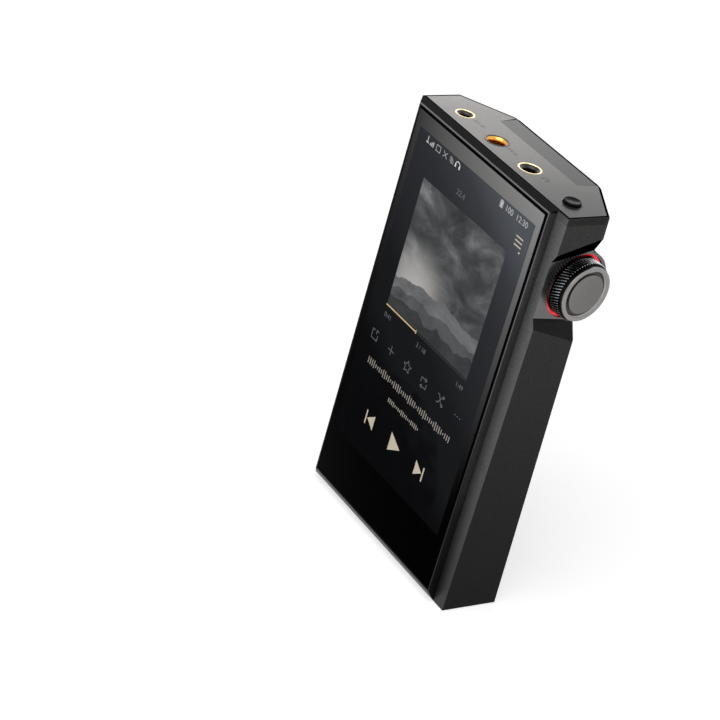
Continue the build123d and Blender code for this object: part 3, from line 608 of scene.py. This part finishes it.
dress(moulded("battery_wrap", (0.3, 0.31, 0.33), rough=(0.3, 0.45), grain=0.8), "battery")
dress(moulded("pad_foam", grey(0.03), rough=(0.8, 0.95), relief=0.05), "battery_pad")
dress(turned("can_metal", (0.45, 0.36, 0.24)), "capacitor_1", "capacitor_2")
dress(moulded("display_back", grey(0.02), gloss=0.3), "display_panel")

for name, width in (("housing", 0.12), ("top_cap", 0.12), ("bottom_cap", 0.12), ("front_frame", 0.06),
                    ("rear_cover", 0.08), ("antenna_window", 0.05), ("pin_key_upper", 0.15),
                    ("pin_key_middle", 0.15), ("pin_key_lower", 0.15)):
    soften(name, width)

# ---- glass and screen -----------------------------
GLASS_LOW, GLASS_HIGH = box_mm("cover_glass")
GLASS_FACE = GLASS_LOW.y + 0.08
SCREEN_LOW, SCREEN_HIGH = Vector((-27.5, 0, 18.8)), Vector((25.0, 0, 110.7))
PICTURE_LOW, PICTURE_HIGH = Vector((-20.4, 0, 62.2)), Vector((17.9, 0, 99.5))
SCREEN_FACE = GLASS_FACE - 0.02
PICTURE_FACE = SCREEN_FACE - 0.02
MARK_FACE = PICTURE_FACE - 0.02
BEIGE = (0.62, 0.55, 0.44)
PALE = (0.55, 0.55, 0.56)
DIM = (0.16, 0.165, 0.18)


def glossy(n, rough=0.05):
    """Finish of polished glass with a coating against reflections, over a print."""
    n.set(Roughness=rough, Metallic=0.0, IOR=1.03)
    return n


def lit(n, color, glow=0.5):
    """Colour of something lit from behind: it shines at a strength and answers the room's light too."""
    n.color(color)
    n.link(color, n.shader.inputs["Emission Color"])
    n.set(Emission_Strength=glow)


def bezel_print_and_reflection():
    """Black print behind the glass, with a painted reflection that turns it paler towards the upper right."""
    n = glossy(Nodes("bezel_print_and_reflection"))
    # Painted reflection: paler towards the top and towards the right, broken up a little by noise.
    rise = n.math("POWER", n.along((0, 0, 1), 22, 115, smooth=False), 2.3)
    across = n.along((1, 0, 0), -40, 26, smooth=False)
    cloud = n.noise(25.0, detail=1.0)
    tone = n.mix(n.math("MULTIPLY", rise, across), grey(0.0006), grey(0.5, 0.01))
    inner = n.math("MULTIPLY", n.along((-1, 0, 0), -GLASS_HIGH.x + 0.9, -GLASS_HIGH.x + 1.0),
                   n.along((0, 0, -1), -GLASS_HIGH.z + 0.7, -GLASS_HIGH.z + 0.8))
    tone = n.mix(inner, grey(0.001), tone)
    n.color(n.mix(n.fit(cloud, 0.3, 0.7, 0.0, 0.12), tone, grey(0.001)))
    return n


# Lit screen tones along a slant towards the upper right: partly the screen's own shading, partly painted
# reflection.
SCREEN_GLOW_AND_SHEEN_TONES = ((0.0, 0.0025), (0.15, 0.0035), (0.25, 0.0085), (0.4, 0.0095), (0.5, 0.016), (0.75, 0.026),
                (0.88, 0.042), (1.0, 0.082))


def screen_glow():
    """Lit screen: deep blue grey that darkens towards the foot, partly the screen's own shading and partly
    painted reflection, with a faint disc behind the play keys.
    """
    n = glossy(Nodes("screen_glow"))
    way = n.along((0.6, 0, 1.0), 20, 118, smooth=False)
    tone = n.ramp(way, [(place, (0.93 * value, value, 1.14 * value)) for place, value in SCREEN_GLOW_AND_SHEEN_TONES])
    coords = n.add("ShaderNodeTexCoord")
    apart = n.add("ShaderNodeVectorMath", operation="DISTANCE")
    n.link(coords.outputs["Object"], apart.inputs[0])
    apart.inputs[1].default_value = (-2.0 * MM, SCREEN_FACE * MM, 26.0 * MM)
    disc = n.fit(apart.outputs["Value"], 0.0215, 0.0222, 1.0, 0.0)
    grain = n.noise(220.0, detail=3.0)
    shade = n.math("MULTIPLY", disc, n.fit(grain, 0.35, 0.7, 0.2, 0.8))
    lit(n, n.mix(shade, tone, (0.002, 0.002, 0.0026)))
    return n


def mist_picture():
    """Cover picture: grey mist over a row of hills, one behind the other."""
    n = glossy(Nodes("mist_picture"))
    clouds = n.noise(75.0, detail=6.0, roughness=0.6, stretch=(1, 1, 1.6), distortion=0.6)
    sky = n.ramp(clouds, ((0.3, grey(0.045, -0.05)), (0.45, grey(0.07, -0.04)), (0.58, grey(0.13, -0.03)),
                          (0.74, grey(0.26, -0.02))))
    coords = n.add("ShaderNodeTexCoord")
    apart = n.add("ShaderNodeVectorMath", operation="DISTANCE")
    n.link(coords.outputs["Object"], apart.inputs[0])
    apart.inputs[1].default_value = (-12.0 * MM, PICTURE_FACE * MM, 70.0 * MM)
    dawn = n.fit(apart.outputs["Value"], 2.0 * MM, 17.0 * MM, 0.9, 0.0, smooth=True)
    colour = n.mix(dawn, sky, grey(0.5, 0.03))
    for index, (level, swing, tone) in enumerate(((72.0, 4.0, 0.17), (69.0, 3.5, 0.1), (66.0, 3.0, 0.05))):
        line = n.noise(38.0 + 22.0 * index, detail=5.0, stretch=(1, 1, 0.0))
        coords = n.add("ShaderNodeTexCoord")
        split = n.add("ShaderNodeSeparateXYZ")
        n.link(coords.outputs["Object"], split.inputs[0])
        crest = n.fit(line, 0.25, 0.75, (level - swing) * MM, (level + swing) * MM)
        below = n.fit(n.math("SUBTRACT", crest, split.outputs["Z"]), -0.15 * MM, 0.15 * MM, 0.0, 1.0)
        slope = n.mix(n.fit(clouds, 0.35, 0.65, 0.0, 1.0), grey(tone * 0.7, -0.03), grey(tone * 1.35, -0.03))
        colour = n.mix(below, colour, slope)
    lit(n, colour, 0.35)
    return n


def printed(name, color):
    """Even mark on the screen with a trace of unevenness."""
    n = glossy(Nodes(name), rough=0.12)
    grain = n.noise(900.0)
    lit(n, n.mix(grain, tuple(c * 0.9 for c in color), tuple(c * 1.1 for c in color)), 0.35)
    return n


def on_glass(a, b, depth):
    """Place on the screen, in front of the picture."""
    return (a, MARK_FACE + (0.015 if depth else 0.0), b)


def cover_glass():
    """Glass panel with rounded corners and a bevelled edge."""
    edge, radius = 0.28, 0.5
    back = GLASS_HIGH.y
    rings = [rounded(GLASS_LOW, GLASS_HIGH, 0.0, radius, back),
             rounded(GLASS_LOW, GLASS_HIGH, 0.0, radius, GLASS_FACE + edge),
             rounded(GLASS_LOW, GLASS_HIGH, edge * 0.35, radius, GLASS_FACE + edge * 0.3),
             rounded(GLASS_LOW, GLASS_HIGH, edge, radius, GLASS_FACE)]
    glass = loft("glass_panel", rings, bezel_print_and_reflection())
    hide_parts("cover_glass")


def plate(name, low, high, face, nodes_material, radius=0.05):
    """Thin panel of the display, just in front of the glass."""
    rings = [rounded(low, high, 0.0, radius, face + 0.02, 2), rounded(low, high, 0.0, radius, face, 2)]
    piece = loft(name, rings, nodes_material)
    return piece


def digits(name, text, a, b, size, nodes_material, face=None):
    """Plain numbers, standing on the screen; a, b is the left end of their foot line."""
    curve = bpy.data.curves.new(name, "FONT")
    curve.body = text
    curve.size = size * MM
    curve.extrude = 0.006 * MM
    made = bpy.data.objects.new(name, curve)
    mesh = bpy.data.meshes.new_from_object(made)
    bpy.data.objects.remove(made)
    turn = Matrix.Rotation(math.radians(90), 4, "X") if face is None else Matrix.Identity(4)
    spot = (a, MARK_FACE + 0.006, b) if face is None else (a, b, face)
    mesh.transform(Matrix.Translation(Vector(spot) * MM) @ turn)
    bm = bmesh.new()
    bm.from_mesh(mesh)
    bmesh.ops.remove_doubles(bm, verts=bm.verts, dist=1e-8)
    bm.to_mesh(mesh)
    bm.free()
    return finish_piece(name, mesh, nodes_material, BODY, smooth=False)


def star_path(a, b, outer, inner):
    """Outline of a five-pointed star."""
    return [(a + r * math.sin(math.radians(36 * i)), b + r * math.cos(math.radians(36 * i)))
            for i, r in enumerate([outer, inner] * 5)]


def play_keys():
    """Play sign between the two skip signs."""
    marks = Flat(on_glass)
    row = 29.5
    marks.fill([(-3.75, row - 2.8), (1.25, row), (-3.75, row + 2.8)])
    for side, center in ((-1, -13.4), (1, 10.3)):
        foot, tip = center - side * 1.5, center + side * 1.7
        marks.fill([(foot, row - 2.2), (tip, row), (foot, row + 2.2)])
        marks.bar(center + side * 2.3, row, 0.5, 4.2)
    return marks.piece("play_marks", printed("mark_beige", BEIGE))


def option_icons():
    """Row of small outline icons under the picture."""
    row, width = 51.5, 0.22
    marks = Flat(on_glass)
    x = -21.7
    marks.stroke([(x - 0.2, row + 1.3), (x - 1.3, row + 1.3), (x - 1.3, row - 1.3), (x + 1.3, row - 1.3),
                  (x + 1.3, row + 0.3)], width)
    marks.stroke([(x + 0.5, row + 0.4), (x + 0.5, row + 1.7)], width)
    marks.stroke([(x + 0.5, row + 1.7), (x + 1.5, row + 1.3)], width)
    x = -13.5
    marks.bar(x, row, 2.8, width)
    marks.bar(x, row, width, 2.8)
    marks.stroke(star_path(-5.4, row, 1.7, 0.85), width, closed=True)
    x = 2.6
    marks.stroke([(x - 1.3, row - 0.2), (x - 1.3, row + 1.2), (x + 0.9, row + 1.2)], width)
    marks.stroke([(x + 1.3, row + 0.2), (x + 1.3, row - 1.2), (x - 0.9, row - 1.2)], width)
    marks.stroke([(x + 0.4, row + 1.8), (x + 1.1, row + 1.2), (x + 0.4, row + 0.6)], width)
    marks.stroke([(x - 0.4, row - 1.8), (x - 1.1, row - 1.2), (x - 0.4, row - 0.6)], width)
    x = 10.7
    for side in (-1, 1):
        marks.stroke([(x - 1.5, row - 1.2 * side), (x - 0.8, row - 1.2 * side), (x + 0.7, row + 1.2 * side),
                      (x + 1.3, row + 1.2 * side)], width)
        marks.stroke([(x + 0.9, row + 1.2 * side + 0.5), (x + 1.5, row + 1.2 * side),
                      (x + 0.9, row + 1.2 * side - 0.5)], width)
    for step in (-1, 0, 1):
        marks.fill(arc(18.8 + 1.1 * step, row, 0.2, 0, 330, 11))
    return marks.piece("option_icons", printed("mark_dim", DIM))


def wave_bars():
    """Rows of short bars where the screen names the track."""
    marks = Flat(on_glass)
    for start, end, row, tall, gap in ((-21.3, 18.9, 44.1, 2.6, 0.92), (-8.8, 5.9, 39.1, 1.7, 0.8)):
        count = int((end - start) / gap)
        for index in range(count + 1):
            swing = 0.5 + 0.3 * math.sin(index * 0.9) + 0.2 * math.sin(index * 2.3 + 1.0)
            marks.bar(start + gap * index, row, 0.34, tall * (0.25 + 0.75 * swing))
    return marks.piece("wave_bars", printed("mark_soft", (0.36, 0.33, 0.29)))


def progress_line():
    """Gold line with a handle for what has been played, and a thin line for the rest."""
    row = 61.75
    done = Flat(on_glass)
    done.bar(-13.35, row, 14.5, 0.42)
    done.bar(-6.1, row, 0.35, 1.0)
    rest = Flat(on_glass)
    rest.bar(5.9, row, 23.6, 0.12)
    return done.piece("progress_done", printed("mark_gold", (0.66, 0.5, 0.28))), \
        rest.piece("progress_rest", printed("mark_line", (0.09, 0.09, 0.1)))


def menu_icon():
    """Three short lines with a dot below them."""
    marks = Flat(on_glass)
    for step in (-1, 0, 1):
        marks.bar(21.0, 103.9 + 1.15 * step, 2.9, 0.36)
    marks.fill(arc(22.3, 101.5, 0.3, 0, 330, 11))
    return marks.piece("menu_icon", printed("mark_menu", BEIGE))


def status_icons():
    """Small signs along the upper edge of the screen."""
    row, width = 109.0, 0.16
    marks = Flat(on_glass)
    marks.fill([(-23.5, 108.2), (-22.4, 108.2), (-22.4, 108.6), (-23.5, 108.6)])
    marks.stroke([(-22.95, 108.6), (-22.95, 110.1)], 0.3)
    for step in range(3):
        marks.bar(-21.6 + 0.62 * step, 108.5 + 0.18 * step, 0.4, 0.7 + 0.36 * step)
    marks.stroke([(-18.9, 108.2), (-17.1, 108.2), (-17.1, 109.8), (-18.9, 109.8)], width, closed=True)
    for side in (-1, 1):
        marks.stroke([(-15.7, row - 0.8 * side), (-13.9, row + 0.8 * side)], width)
    for radius in (0.6, 1.1, 1.6):
        marks.stroke(arc(-12.6, 108.2, radius, 0, 90, 8), width)
    marks.stroke([(10.5, 108.2), (11.6, 108.2), (11.6, 109.9), (10.5, 109.9)], 0.2, closed=True)
    marks.bar(11.05, 109.0, 0.75, 1.4)
    marks.bar(11.05, 110.1, 0.5, 0.2)
    return marks.piece("status_icons", printed("mark_pale", PALE))


def headphones(a, b, size, place, name, nodes_material):
    """Headphone sign: a bow with two pads."""
    marks = Flat(place)
    marks.stroke(arc(a, b, size, 0, 180, 12), size * 0.22)
    for side in (-1, 1):
        marks.bar(a + side * size * 0.92, b - size * 0.35, size * 0.5, size * 0.9)
    return marks.piece(name, nodes_material)


cover_glass()
plate("screen_panel", SCREEN_LOW, SCREEN_HIGH, SCREEN_FACE, screen_glow())
plate("picture_panel", PICTURE_LOW, PICTURE_HIGH, PICTURE_FACE, mist_picture())
TIME_ROW = 58.4          # foot line of the times and the count under the picture
pale = printed("mark_digits", PALE)
dim = printed("mark_small_digits", DIM)
screen_marks = [play_keys(), option_icons(), wave_bars(), menu_icon(), status_icons(), *progress_line(),
                headphones(-9.0, 109.0, 0.95, on_glass, "headphone_sign",
                           printed("mark_white", (0.85, 0.85, 0.85))),
                digits("charge_digits", "100", 12.7, 108.3, 2.3, pale),
                digits("clock_digits", "12:30", 17.4, 108.3, 2.3, pale),
                digits("rate_digits", "22.4", -6.6, 102.4, 2.2, dim),
                digits("elapsed_digits", "0:41", -20.3, TIME_ROW, 1.9, dim),
                digits("count_digits", "3 / 18", -4.6, TIME_ROW, 1.9, dim),
                digits("length_digits", "1:49", 14.4, TIME_ROW, 1.9, dim)]

# ---- volume wheel ---------------------------------


def grip_metal():
    """Bright teeth, with painted shade: dark gaps between them and a black neck under the rim."""
    n = Nodes("grip_metal")
    fine = n.noise(9000.0, detail=2.0)
    tooth = n.fit(off_axis(n), 7.98 * MM, 8.1 * MM, 0.0, 1.0)
    foot_out = Vector(WHEEL_FOOT).dot(Vector(WHEEL_AXIS))
    neck = n.along(WHEEL_AXIS, foot_out + 3.0, foot_out + 3.1)
    # Painted shade: below the tooth crests and on the neck the metal is painted near black.
    colour = n.mix(tooth, grey(0.012), n.mix(fine, grey(0.32, -0.03), grey(0.4, -0.03)))
    n.color(n.mix(neck, colour, grey(0.008)))
    n.rough(n.fit(fine, 0.3, 0.7, 0.2, 0.28))
    n.bump(fine, 0.25, 0.003)
    n.set(Metallic=1.0)
    return n


def wheel_grip():
    """Dark ring with slanted teeth round the side of the wheel."""
    crest, root, hub, steps = 8.3, 7.75, 2.2, 12
    start, along, u, v = axis_frame(WHEEL_FOOT, WHEEL_AXIS)
    twist = math.radians(3.0)
    levels = [(hub, hub, 0.3), (root - 0.1, root - 0.1, 0.3), (root, crest - 0.2, 0.32), (root, crest, 0.5)]
    levels += [(root - 0.02 * step, crest - 0.02 * step, 0.5 + 0.31 * step) for step in range(1, 9)]
    levels += [(7.6, 7.95, 3.06), (7.6, 7.6, 3.14), (7.55, 7.55, 3.6), (7.45, 7.45, 3.72), (7.2, 7.2, 3.78),
               (hub, hub, 3.78)]
    shape = [0, 0, 0, 0.6, 1, 1, 1, 1, 0.6, 0, 0, 0]
    points, faces = [], []
    count = TEETH * steps
    for low, high, height in levels:
        for step in range(count):
            radius = low + (high - low) * shape[step % steps]
            angle = 2 * math.pi * step / count - twist * height
            points.append(start + (u * math.cos(angle) + v * math.sin(angle)) * radius + along * height)
    for level in range(len(levels)):
        i, j = level * count, (level + 1) % len(levels) * count
        faces += [(i + k, i + (k + 1) % count, j + (k + 1) % count, j + k) for k in range(count)]
    grip = finish_piece("wheel_grip", mesh_from("wheel_grip", points, faces), grip_metal(), WHEEL, sharp=25.0)
    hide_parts("wheel_knob")


def wheel_front():
    """Satin rim with a polished slope inside it, a black ring of painted shade in the groove, and the dished
    face.
    """
    rim_profile = [(6.47, 3.8), (7.58, 3.8), (7.6, 3.84), (7.6, 4.16), (7.56, 4.26), (7.46, 4.3), (6.55, 4.3),
                   (6.49, 4.28), (6.47, 4.24)]
    rim = lathe("wheel_rim", rim_profile, WHEEL_FOOT, WHEEL_AXIS, satin_turning("rim_satin", 0.24), WHEEL,
                steps=128)
    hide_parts("wheel_ring")
    slope_profile = [(6.0, 3.8), (6.46, 3.8), (6.46, 4.22), (6.43, 4.24), (6.02, 3.86)]
    slope = lathe("wheel_slope", slope_profile, WHEEL_FOOT, WHEEL_AXIS,
                  turned("slope_bright", grey(0.3), (0.1, 0.16)), WHEEL, steps=128)
    # Painted shade: a thin near-black ring at the foot of the groove between the slope and the face.
    groove_profile = [(5.3, 3.79), (6.0, 3.79), (6.0, 3.83), (5.3, 3.83)]
    groove = lathe("wheel_groove", groove_profile, WHEEL_FOOT, WHEEL_AXIS,
                   moulded("groove_shade_black", grey(0.004)), WHEEL, steps=96)
    face_profile = [(0.0, 3.6), (5.28, 3.6), (5.42, 3.84), (5.45, 4.1), (5.42, 4.2), (5.34, 4.23)]
    face_profile += [(5.34 - 0.445 * step, 3.78 + 0.45 * (1 - step / 12) ** 2) for step in range(1, 12)]
    face_profile += [(0.0, 3.78)]
    face = lathe("wheel_face", face_profile, WHEEL_FOOT, WHEEL_AXIS, satin_turning("face_satin", 0.14), WHEEL,
                 steps=128)
    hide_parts("wheel_cap")


def satin_turning(name, tone):
    """Metal with the very fine rings that a lathe leaves."""
    n = Nodes(name)
    coords = n.add("ShaderNodeTexCoord")
    apart = n.add("ShaderNodeVectorMath", operation="DISTANCE")
    n.link(coords.outputs["Object"], apart.inputs[0])
    apart.inputs[1].default_value = Vector(WHEEL_FOOT) * MM
    rings = n.add("ShaderNodeTexNoise", noise_dimensions="1D")
    n.link(apart.outputs["Value"], rings.inputs["W"])
    rings.inputs["Scale"].default_value = 9000.0
    fine = n.noise(7000.0)
    both = n.math("MULTIPLY", rings.outputs["Fac"], fine)
    n.color(n.mix(n.fit(both, 0.1, 0.4, 0.0, 1.0), grey(tone * 0.88, 0.03), grey(tone * 1.12, 0.03)))
    n.rough(n.fit(both, 0.1, 0.4, 0.26, 0.38))
    n.bump(both, 0.3, 0.002)
    n.set(Metallic=1.0)
    return n


def wheel_light():
    """Red light ring, sunk in a groove in the floor round the wheel."""
    n = Nodes("light_red")
    glow = n.noise(260.0, detail=2.0)
    coords = n.add("ShaderNodeTexCoord")
    aside = n.add("ShaderNodeVectorMath", operation="SUBTRACT")
    n.link(coords.outputs["Object"], aside.inputs[0])
    aside.inputs[1].default_value = Vector(WHEEL_FOOT) * MM
    toward = n.add("ShaderNodeVectorMath", operation="DOT_PRODUCT")
    n.link(aside.outputs["Vector"], toward.inputs[0])
    turn = math.radians(LAMP_ANGLE)
    toward.inputs[1].default_value = (0.0, math.cos(turn), math.sin(turn))
    along_lamps = n.math("ABSOLUTE", toward.outputs["Value"], 0)
    near_lamp = n.fit(along_lamps, 3.0 * MM, 8.8 * MM, 0.0, 1.0, smooth=True)
    uneven = n.fit(glow, 0.3, 0.7, -0.08, 0.08)
    hue = n.ramp(n.math("ADD", near_lamp, uneven), ((0.0, (0.16, 0.0, 0.003)), (0.5, (0.4, 0.002, 0.008)),
                                                   (0.9, (0.62, 0.005, 0.014)), (1.0, (0.9, 0.06, 0.08))))
    n.color(n.mix(0.7, hue, (0.05, 0.001, 0.002)))
    n.link(hue, n.shader.inputs["Emission Color"])
    n.set(Emission_Strength=1.0, Roughness=0.35, IOR=1.1)
    low, top = -1.38, -0.62
    profile = [(8.37, low), (8.93, low), (8.93, top - 0.12), (8.89, top - 0.04), (8.81, top), (8.49, top),
               (8.41, top - 0.04), (8.37, top - 0.12)]
    light = lathe("wheel_light", profile, WHEEL_FOOT, WHEEL_AXIS, n, BODY, steps=128)
    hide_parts("light_ring")


wheel_grip()
wheel_front()
wheel_light()

# ---- sockets and power key ------------------------
UP = (0, 0, 1)
TOP = box_mm("top_cap")[1].z
RING_FOOT = 115.95       # where the thin rings in the top plate begin


def gold(name, tone=(0.9, 0.74, 0.42), rough=(0.2, 0.3)):
    """Gold plate."""
    return turned(name, tone, rough=rough)


def socket(size, bore, ring_material, insert_material, ring_slot, insert_slot):
    """One headphone socket: a thin ring in the top plate round an insert with its stepped bore."""
    low, high = box_mm("socket_rim_" + size)
    center = ((low.x + high.x) / 2, (low.y + high.y) / 2, 0)
    outer = (high.x - low.x) / 2
    inner = outer - 0.52
    ring_profile = [(inner, RING_FOOT), (outer, RING_FOOT), (outer, TOP + 0.01), (outer - 0.06, TOP + 0.05),
                    (inner + 0.12, TOP + 0.05), (inner, TOP - 0.06)]
    ring = lathe("socket_ring_" + size, ring_profile, center, UP, ring_material)
    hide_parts("socket_rim_" + size)
    body_low, body_high = box_mm("socket_body_" + size)
    sleeve = (body_high.x - body_low.x) / 2
    mouth = inner - 0.03
    profile = [(0.0, body_low.z), (sleeve, body_low.z), (sleeve, 115.9), (mouth, 115.9), (mouth, TOP - 0.16),
               (mouth - 0.05, TOP - 0.13), (bore + 0.3, TOP - 0.3), (bore + 0.06, TOP - 0.6)]
    depths = [116.0 - 1.15 * step for step in range(6)]
    for depth in depths:
        profile += [(bore, depth), (bore, depth - 0.7), (bore + 0.14, depth - 0.78),
                    (bore + 0.14, depth - 1.08)]
    profile += [(bore, depths[-1] - 1.3), (bore, 104.0), (0.0, 104.0)]
    insert = lathe("socket_insert_" + size, profile, center, UP, insert_material)
    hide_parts("socket_body_" + size)


def power_key():
    """Glossy round key with a dished top, in a narrow black ring."""
    low, high = box_mm("power_rim")
    center = ((low.x + high.x) / 2, (low.y + high.y) / 2, 0)
    outer = (high.x - low.x) / 2
    black = moulded("bezel_black", grey(0.004), rough=(0.12, 0.18), relief=0.001)
    bezel_profile = [(2.46, RING_FOOT), (outer, RING_FOOT), (outer, TOP), (outer - 0.05, TOP + 0.03),
                     (2.6, TOP + 0.03), (2.46, TOP - 0.12)]
    bezel = lathe("power_bezel", bezel_profile, center, UP, black)
    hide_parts("power_rim")
    key = box_mm("power_button")
    crown, side = key[1].z, (key[1].x - key[0].x) / 2
    dish = [(2.0 - 0.4 * step, crown - 0.02 - 0.3 * (1 - (1 - step / 5) ** 2)) for step in range(1, 5)]
    profile = [(0.0, key[0].z), (side, key[0].z), (side, crown - 0.3), (side - 0.05, crown - 0.14),
               (side - 0.15, crown - 0.04), (side - 0.24, crown), (2.02, crown - 0.01), *dish,
               (0.0, crown - 0.32)]
    gloss = moulded("key_black", grey(0.006), rough=(0.14, 0.2), relief=0.001)
    gloss.set(IOR=1.13)
    dome = lathe("power_dome", profile, center, UP, gloss, "power_key")
    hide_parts("power_button")


black_insert = moulded("insert_black", grey(0.004), rough=(0.2, 0.35), relief=0.004)
ring_black = moulded("ring_black", grey(0.004), rough=(0.15, 0.25), relief=0.002)
socket("2p5", 1.30, gold("gold_2p5"), black_insert, "ring_gold", "insulator_black")
socket("4p4", 2.25, ring_black, gold("gold_bore", (0.78, 0.42, 0.1), (0.16, 0.24)), "ring_dark", "ring_gold")
socket("3p5", 1.80, gold("gold_3p5"), black_insert, "ring_gold", "insulator_black")
power_key()


def on_top(a, b, depth):
    """Place on the top plate."""
    return (a, b, TOP + (0.012 if depth else 0.0))


def etched_marks():
    """Socket sizes in numbers, each with a small plug sign, and a headphone sign."""
    etched = turned("etched_dark", grey(0.03), rough=(0.4, 0.5))
    signs = Flat(on_top)
    for x in (-15.2, -0.2):
        signs.ring(x, -2.35, 0.42, 0.14, 12)
        signs.bar(x + 0.9, -2.35, 0.5, 0.16)
    return (headphones(13.35, -2.35, 0.85, on_top, "headphone_etch", etched),
            signs.piece("plug_signs", etched),
            digits("etch_2p5", "2.5", -18.4, -2.9, 1.6, etched, face=TOP + 0.006),
            digits("etch_4p4", "4.4", -3.3, -2.9, 1.6, etched, face=TOP + 0.006))


for mark in etched_marks():
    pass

# ---- studio ---------------------------------------
FLOOR_REACH = 4000
FLOOR_DROP = 0.2         # the floor lies this far below the part
FLOOR_FADE = (0.3, 1.2)  # metres from the object between which the floor turns white
FLOOR_GLOW = (0.62, 1.0)  # its strength before and behind that stretch
SKY_LIGHT = (0.045, 0.03)  # strength of the light from the horizon and from overhead


def shown(tree):
    """1 for rays that look at the background: from the camera, from gloss or through glass."""
    path = tree.nodes.new("ShaderNodeLightPath")
    value = path.outputs["Is Camera Ray"]
    for name in ("Is Glossy Ray", "Is Transmission Ray"):
        node = tree.nodes.new("ShaderNodeMath")
        node.operation = "MAXIMUM"
        tree.links.new(value, node.inputs[0])
        tree.links.new(path.outputs[name], node.inputs[1])
        value = node.outputs[0]
    return value


def floor():
    """Pale floor that shows white and still takes the object's shadow."""
    reach = FLOOR_REACH
    corners = [(-reach, -reach, 0), (reach, -reach, 0), (reach, reach, 0), (-reach, reach, 0)]
    mesh = mesh_from("floor", corners, [(0, 1, 2, 3)])
    plane = bpy.data.objects.new("floor", mesh)
    bpy.context.scene.collection.objects.link(plane)
    plane.location.z = -FLOOR_DROP * MM
    n = Nodes("floor")
    n.set(Base_Color=(*grey(0.9), 1), Roughness=0.9, Emission_Color=(1, 1, 1, 1))
    n.shader.inputs["Specular IOR Level"].default_value = 0.0
    coords = n.add("ShaderNodeTexCoord")
    away = n.add("ShaderNodeVectorMath", operation="LENGTH")
    n.link(coords.outputs["Object"], away.inputs[0])
    white = n.fit(away.outputs["Value"], *FLOOR_FADE, *FLOOR_GLOW, smooth=True)
    n.link(n.math("MULTIPLY", shown(n.tree), white), n.shader.inputs["Emission Strength"])
    give(n.material, plane)


def sky():
    """World that lights the object faintly, less from overhead, and is seen as plain white."""
    world = bpy.data.worlds.new("studio")
    world.use_nodes = True
    tree = world.node_tree
    background = tree.nodes["Background"]
    background.inputs["Color"].default_value = (1, 1, 1, 1)
    coords = tree.nodes.new("ShaderNodeTexCoord")
    split = tree.nodes.new("ShaderNodeSeparateXYZ")
    tree.links.new(coords.outputs["Generated"], split.inputs[0])
    ramp = tree.nodes.new("ShaderNodeMapRange")
    tree.links.new(split.outputs["Z"], ramp.inputs["Value"])
    for key, number in zip(("From Min", "From Max", "To Min", "To Max"), (0.0, 0.8, *SKY_LIGHT)):
        ramp.inputs[key].default_value = number
    choose = tree.nodes.new("ShaderNodeMix")
    tree.links.new(shown(tree), choose.inputs[0])
    tree.links.new(ramp.outputs["Result"], choose.inputs[2])
    choose.inputs[3].default_value = 1.0
    tree.links.new(choose.outputs[0], background.inputs["Strength"])
    bpy.context.scene.world = world


def studio():
    """Floor, surroundings and three soft panels of light."""
    floor()
    sky()
    middle = (0, 0, 0.08)
    panel("panel_left", (-0.74, 0.5, 0.42), 0.7, 0.4, 0.22, 1.8, middle)
    panel("panel_above", (0.15, -0.6, 1.0), 0.9, 0.9, 0.9, 2.2, middle)
    panel("panel_right", (0.71, 0.64, 0.33), 0.6, 0.3, 0.2, 3.0, middle)
    bpy.context.scene.view_settings.view_transform = "Standard"


studio()
